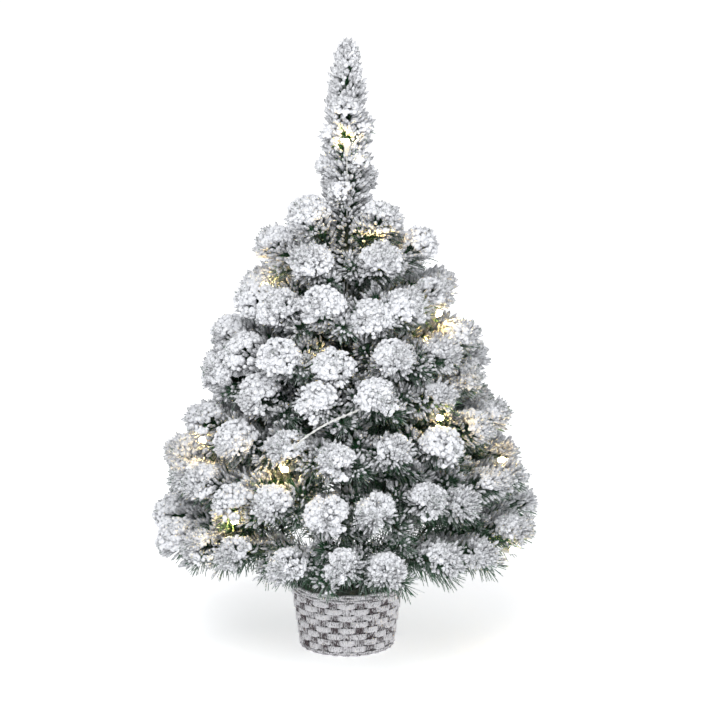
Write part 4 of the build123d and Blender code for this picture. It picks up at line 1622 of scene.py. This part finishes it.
def ring_strands(node, rows, sway, waves):
    """Paths of strands that fill a ring of the basket, two deep and some rows high."""
    points = mesh_points(node)
    low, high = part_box(node)
    size = (high.z - low.z) / rows / 2
    paths = []
    for row in range(rows):
        height = low.z + size * (2 * row + 1)
        level = (height - low.z) / (high.z - low.z)
        foot = [trunk_distance(point) for point in points if point.z < low.z + 0.1 * MM]
        top = [trunk_distance(point) for point in points if point.z > high.z - 0.1 * MM]
        outer = max(foot) + (max(top) - max(foot)) * level
        inner = min(foot) + (min(top) - min(foot)) * level
        phase = math.pi * row
        paths.append(ring_path(outer - size, height, sway, 0.35 * size, waves, phase))
        paths.append(ring_path(inner + size, height, sway, 0.35 * size, waves, phase + 1.6))
    return paths, size * 1.02


class TREE_OT_basket(bpy.types.Operator):
    """Woven basket with its board, liner and cement"""

    bl_idname = "tree.basket"
    bl_label = "Basket"

    def execute(self, context):
        self.reeds()
        bands = polished("basket_bands", "wash", 0.3 * MM, 2, 0.35 * MM)
        new_piece("basket_woven_bands", bands, "tree", ("basket_bands",))
        for node, rows, waves, slot in (
            ("basket_rim", 3, 13, "whitewashed_reed"),
            ("basket_foot", 2, 26, "reed"),
        ):
            paths, radius = ring_strands(node, rows, 0.5 * MM, waves)
            strands = tubes(node + "_strands", paths, radius, 9, Finishes.get("strand"), True)
            for vertex in strands.vertices:
                vertex.co += noise.noise_vector(vertex.co * 300.0) * 0.3 * MM
            new_piece(node + "_strands", strands, "tree", (node,))
        for node, finish, slot, width in (
            ("basket_base", "plywood", "plywood", 0.3 * MM),
            ("basket_liner", "liner", "liner", 0.15 * MM),
            ("ballast", "cement", "cement", 0.6 * MM),
        ):
            new_piece(node + "_finished", polished(node, finish, width), "tree", (node,))
        return {"FINISHED"}

    @staticmethod
    def reeds():
        """Four thin round reeds for every upright stake."""
        paths = []
        for points in islands("basket_stakes"):
            centre = middle(points)
            outward = Vector((centre.x, centre.y, 0.0)).normalized()
            across = UP.cross(outward)
            low = min(point.z for point in points)
            high = max(point.z for point in points)
            foot = middle([point for point in points if point.z < low + 0.5 * MM]).dot(outward)
            top = middle([point for point in points if point.z > high - 0.5 * MM]).dot(outward)
            width = 2 * max(abs(point.dot(across)) for point in points)
            for number in range(4):
                side = (number - 1.5) * width / 4
                path = []
                for step in range(31):
                    level = step / 30
                    lean = noise.noise(Vector((centre.x * 90 + number, centre.y * 90, level * 6))) * 0.5 * MM
                    out = foot + (top - foot) * level
                    path.append(outward * out + across * (side + lean) + UP * (low + (high - low) * level))
                paths.append(path)
        radius = 0.9 * MM
        mesh = tubes("basket_reeds", paths, radius, 8, Finishes.get("reed"))
        new_piece("basket_reeds", mesh, "tree", ("basket_stakes",))


class TREE_OT_trunk(bpy.types.Operator):
    """Pole, wound tape and bindings"""

    bl_idname = "tree.trunk"
    bl_label = "Trunk"

    def execute(self, context):
        pole = polished("trunk_pole", "pole", 0.3 * MM)
        new_piece("trunk_pole_finished", pole, "tree", ("trunk_pole",))
        self.tape()
        self.bindings()
        return {"FINISHED"}

    @staticmethod
    def tape():
        """Tape wound in overlapping turns, thickest at each turn's upper edge."""
        low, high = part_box("trunk_tape")
        pitch = 9.0 * MM
        sides = 40
        rows = 340
        points = []
        for row in range(rows + 1):
            height = low.z + (high.z - low.z) * row / rows
            for side in range(sides):
                turn = side / sides
                place = ((height - low.z) / pitch - turn) % 1.0
                radius = high.x - 0.7 * MM * (1.0 - place) ** 0.5
                radius += 0.12 * MM * noise.noise(Vector((side * 0.6, row * 0.22, 3.0)))
                if row in (0, rows):
                    radius = high.x - 0.8 * MM
                angle = 2 * math.pi * turn
                points.append((radius * math.cos(angle), radius * math.sin(angle), height))
        faces = []
        for row in range(rows):
            for side in range(sides):
                following = (side + 1) % sides
                faces.append(
                    (row * sides + side, row * sides + following,
                     (row + 1) * sides + following, (row + 1) * sides + side)
                )
        faces.append(tuple(reversed(range(sides))))
        faces.append(tuple(range(rows * sides, (rows + 1) * sides)))
        mesh = bpy.data.meshes.new("wound_tape")
        mesh.from_pydata(points, [], faces)
        mesh.materials.append(Finishes.get("tape"))
        mesh.shade_smooth()
        mesh.set_sharp_from_angle(angle=math.radians(60.0))
        new_piece("wound_tape", mesh, "tree", ("trunk_tape",))

    @staticmethod
    def bindings():
        """Turns of wire that hold each ring of branches, open where the light cable passes."""
        paths = []
        for points in islands("branch_bindings"):
            low = min(point.z for point in points)
            high = max(point.z for point in points)
            inner = min(trunk_distance(point) for point in points)
            outer = max(trunk_distance(point) for point in points)
            turns = sorted(math.atan2(point.y, point.x) for point in points)
            gaps = [(after - before, before, after) for before, after in zip(turns, turns[1:])]
            gaps.append((turns[0] + 2 * math.pi - turns[-1], turns[-1], turns[0] + 2 * math.pi))
            _, before, after = max(gaps)
            radius = (outer - inner) / 2
            wires = 4
            for wire in range(wires):
                height = low + radius + (high - low - 2 * radius) * wire / (wires - 1)
                span = before + 2 * math.pi - after
                path = []
                for step in range(49):
                    turn = after + 0.06 + (span - 0.12) * step / 48
                    out = (inner + outer) / 2
                    path.append(Vector((out * math.cos(turn), out * math.sin(turn), height)))
                paths.append(path)
        mesh = tubes("binding_turns", paths, radius, 8, Finishes.get("binding"))
        new_piece("binding_turns", mesh, "tree", ("branch_bindings",))


class TREE_OT_battery(bpy.types.Operator):
    """Battery case, lid, switch, cells and contacts"""

    bl_idname = "tree.battery"
    bl_label = "Battery case"

    def execute(self, context):
        for node, finish, slot, body, width in (
            ("battery_case", "case", "case", "tree", 0.35 * MM),
            ("battery_lid", "case", "case", "lid", 0.2 * MM),
            ("switch_slider", "switch", "switch", "switch", 0.2 * MM),
            ("battery_cells", "cell", "cell", "tree", 0.3 * MM),
            ("battery_contacts", "contact", "contact", "tree", 0.1 * MM),
        ):
            new_piece(node + "_finished", polished(node, finish, width), body, (node,))
        low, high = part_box("battery_lid")
        ridges = []
        for step in range(5):
            height = high.z - (5.0 + 1.6 * step) * MM
            ridges.append([Vector((side * 9.0 * MM, high.y - 0.1 * MM, height)) for side in (-1, 1)])
        mesh = tubes("lid_ridges", ridges, 0.5 * MM, 8, Finishes.get("case"))
        new_piece("lid_ridges", mesh, "lid")
        low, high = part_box("switch_slider")
        ribs = []
        for step in range(3):
            place = low.x + (high.x - low.x) * (step + 1) / 4
            ribs.append([Vector((place, side, high.z)) for side in (low.y + 0.8 * MM, high.y - 0.8 * MM)])
        mesh = tubes("switch_ribs", ribs, 0.3 * MM, 8, Finishes.get("switch"))
        new_piece("switch_ribs", mesh, "switch")
        return {"FINISHED"}


class TREE_PT_panel(bpy.types.Panel):
    """Sizes and colours of the tree, and the steps that make it"""

    bl_idname = "TREE_PT_panel"
    bl_label = "Tabletop tree"
    bl_space_type = "VIEW_3D"
    bl_region_type = "UI"
    bl_category = "Tabletop tree"

    def draw(self, context):
        for group in ("tree_foliage", "tree_lamps", "tree_colours", "tree_studio"):
            settings = getattr(context.scene, group)
            box = self.layout.box()
            for name in settings.bl_rna.properties.keys():
                if name not in ("name", "rna_type"):
                    box.prop(settings, name)
        for name in MAKING_ORDER:
            self.layout.operator("tree." + name)


MAKING_ORDER = ("stage", "trunk", "basket", "battery", "lamps", "branches", "crown")
CLASSES = (
    FoliageSizes,
    LampSizes,
    Colours,
    StudioSizes,
    TREE_OT_stage,
    TREE_OT_branches,
    TREE_OT_crown,
    TREE_OT_lamps,
    TREE_OT_basket,
    TREE_OT_trunk,
    TREE_OT_battery,
    TREE_PT_panel,
)


def register():
    for made in CLASSES:
        bpy.utils.register_class(made)
    scene = bpy.types.Scene
    scene.tree_foliage = PointerProperty(type=FoliageSizes)
    scene.tree_lamps = PointerProperty(type=LampSizes)
    scene.tree_colours = PointerProperty(type=Colours)
    scene.tree_studio = PointerProperty(type=StudioSizes)


def unregister():
    for name in ("tree_foliage", "tree_lamps", "tree_colours", "tree_studio"):
        delattr(bpy.types.Scene, name)
    for made in reversed(CLASSES):
        bpy.utils.unregister_class(made)


def main():
    register()
    for name in MAKING_ORDER:
        getattr(bpy.ops.tree, name)()
    bpy.context.view_layer.update()


if __name__ == "__main__":
    main()
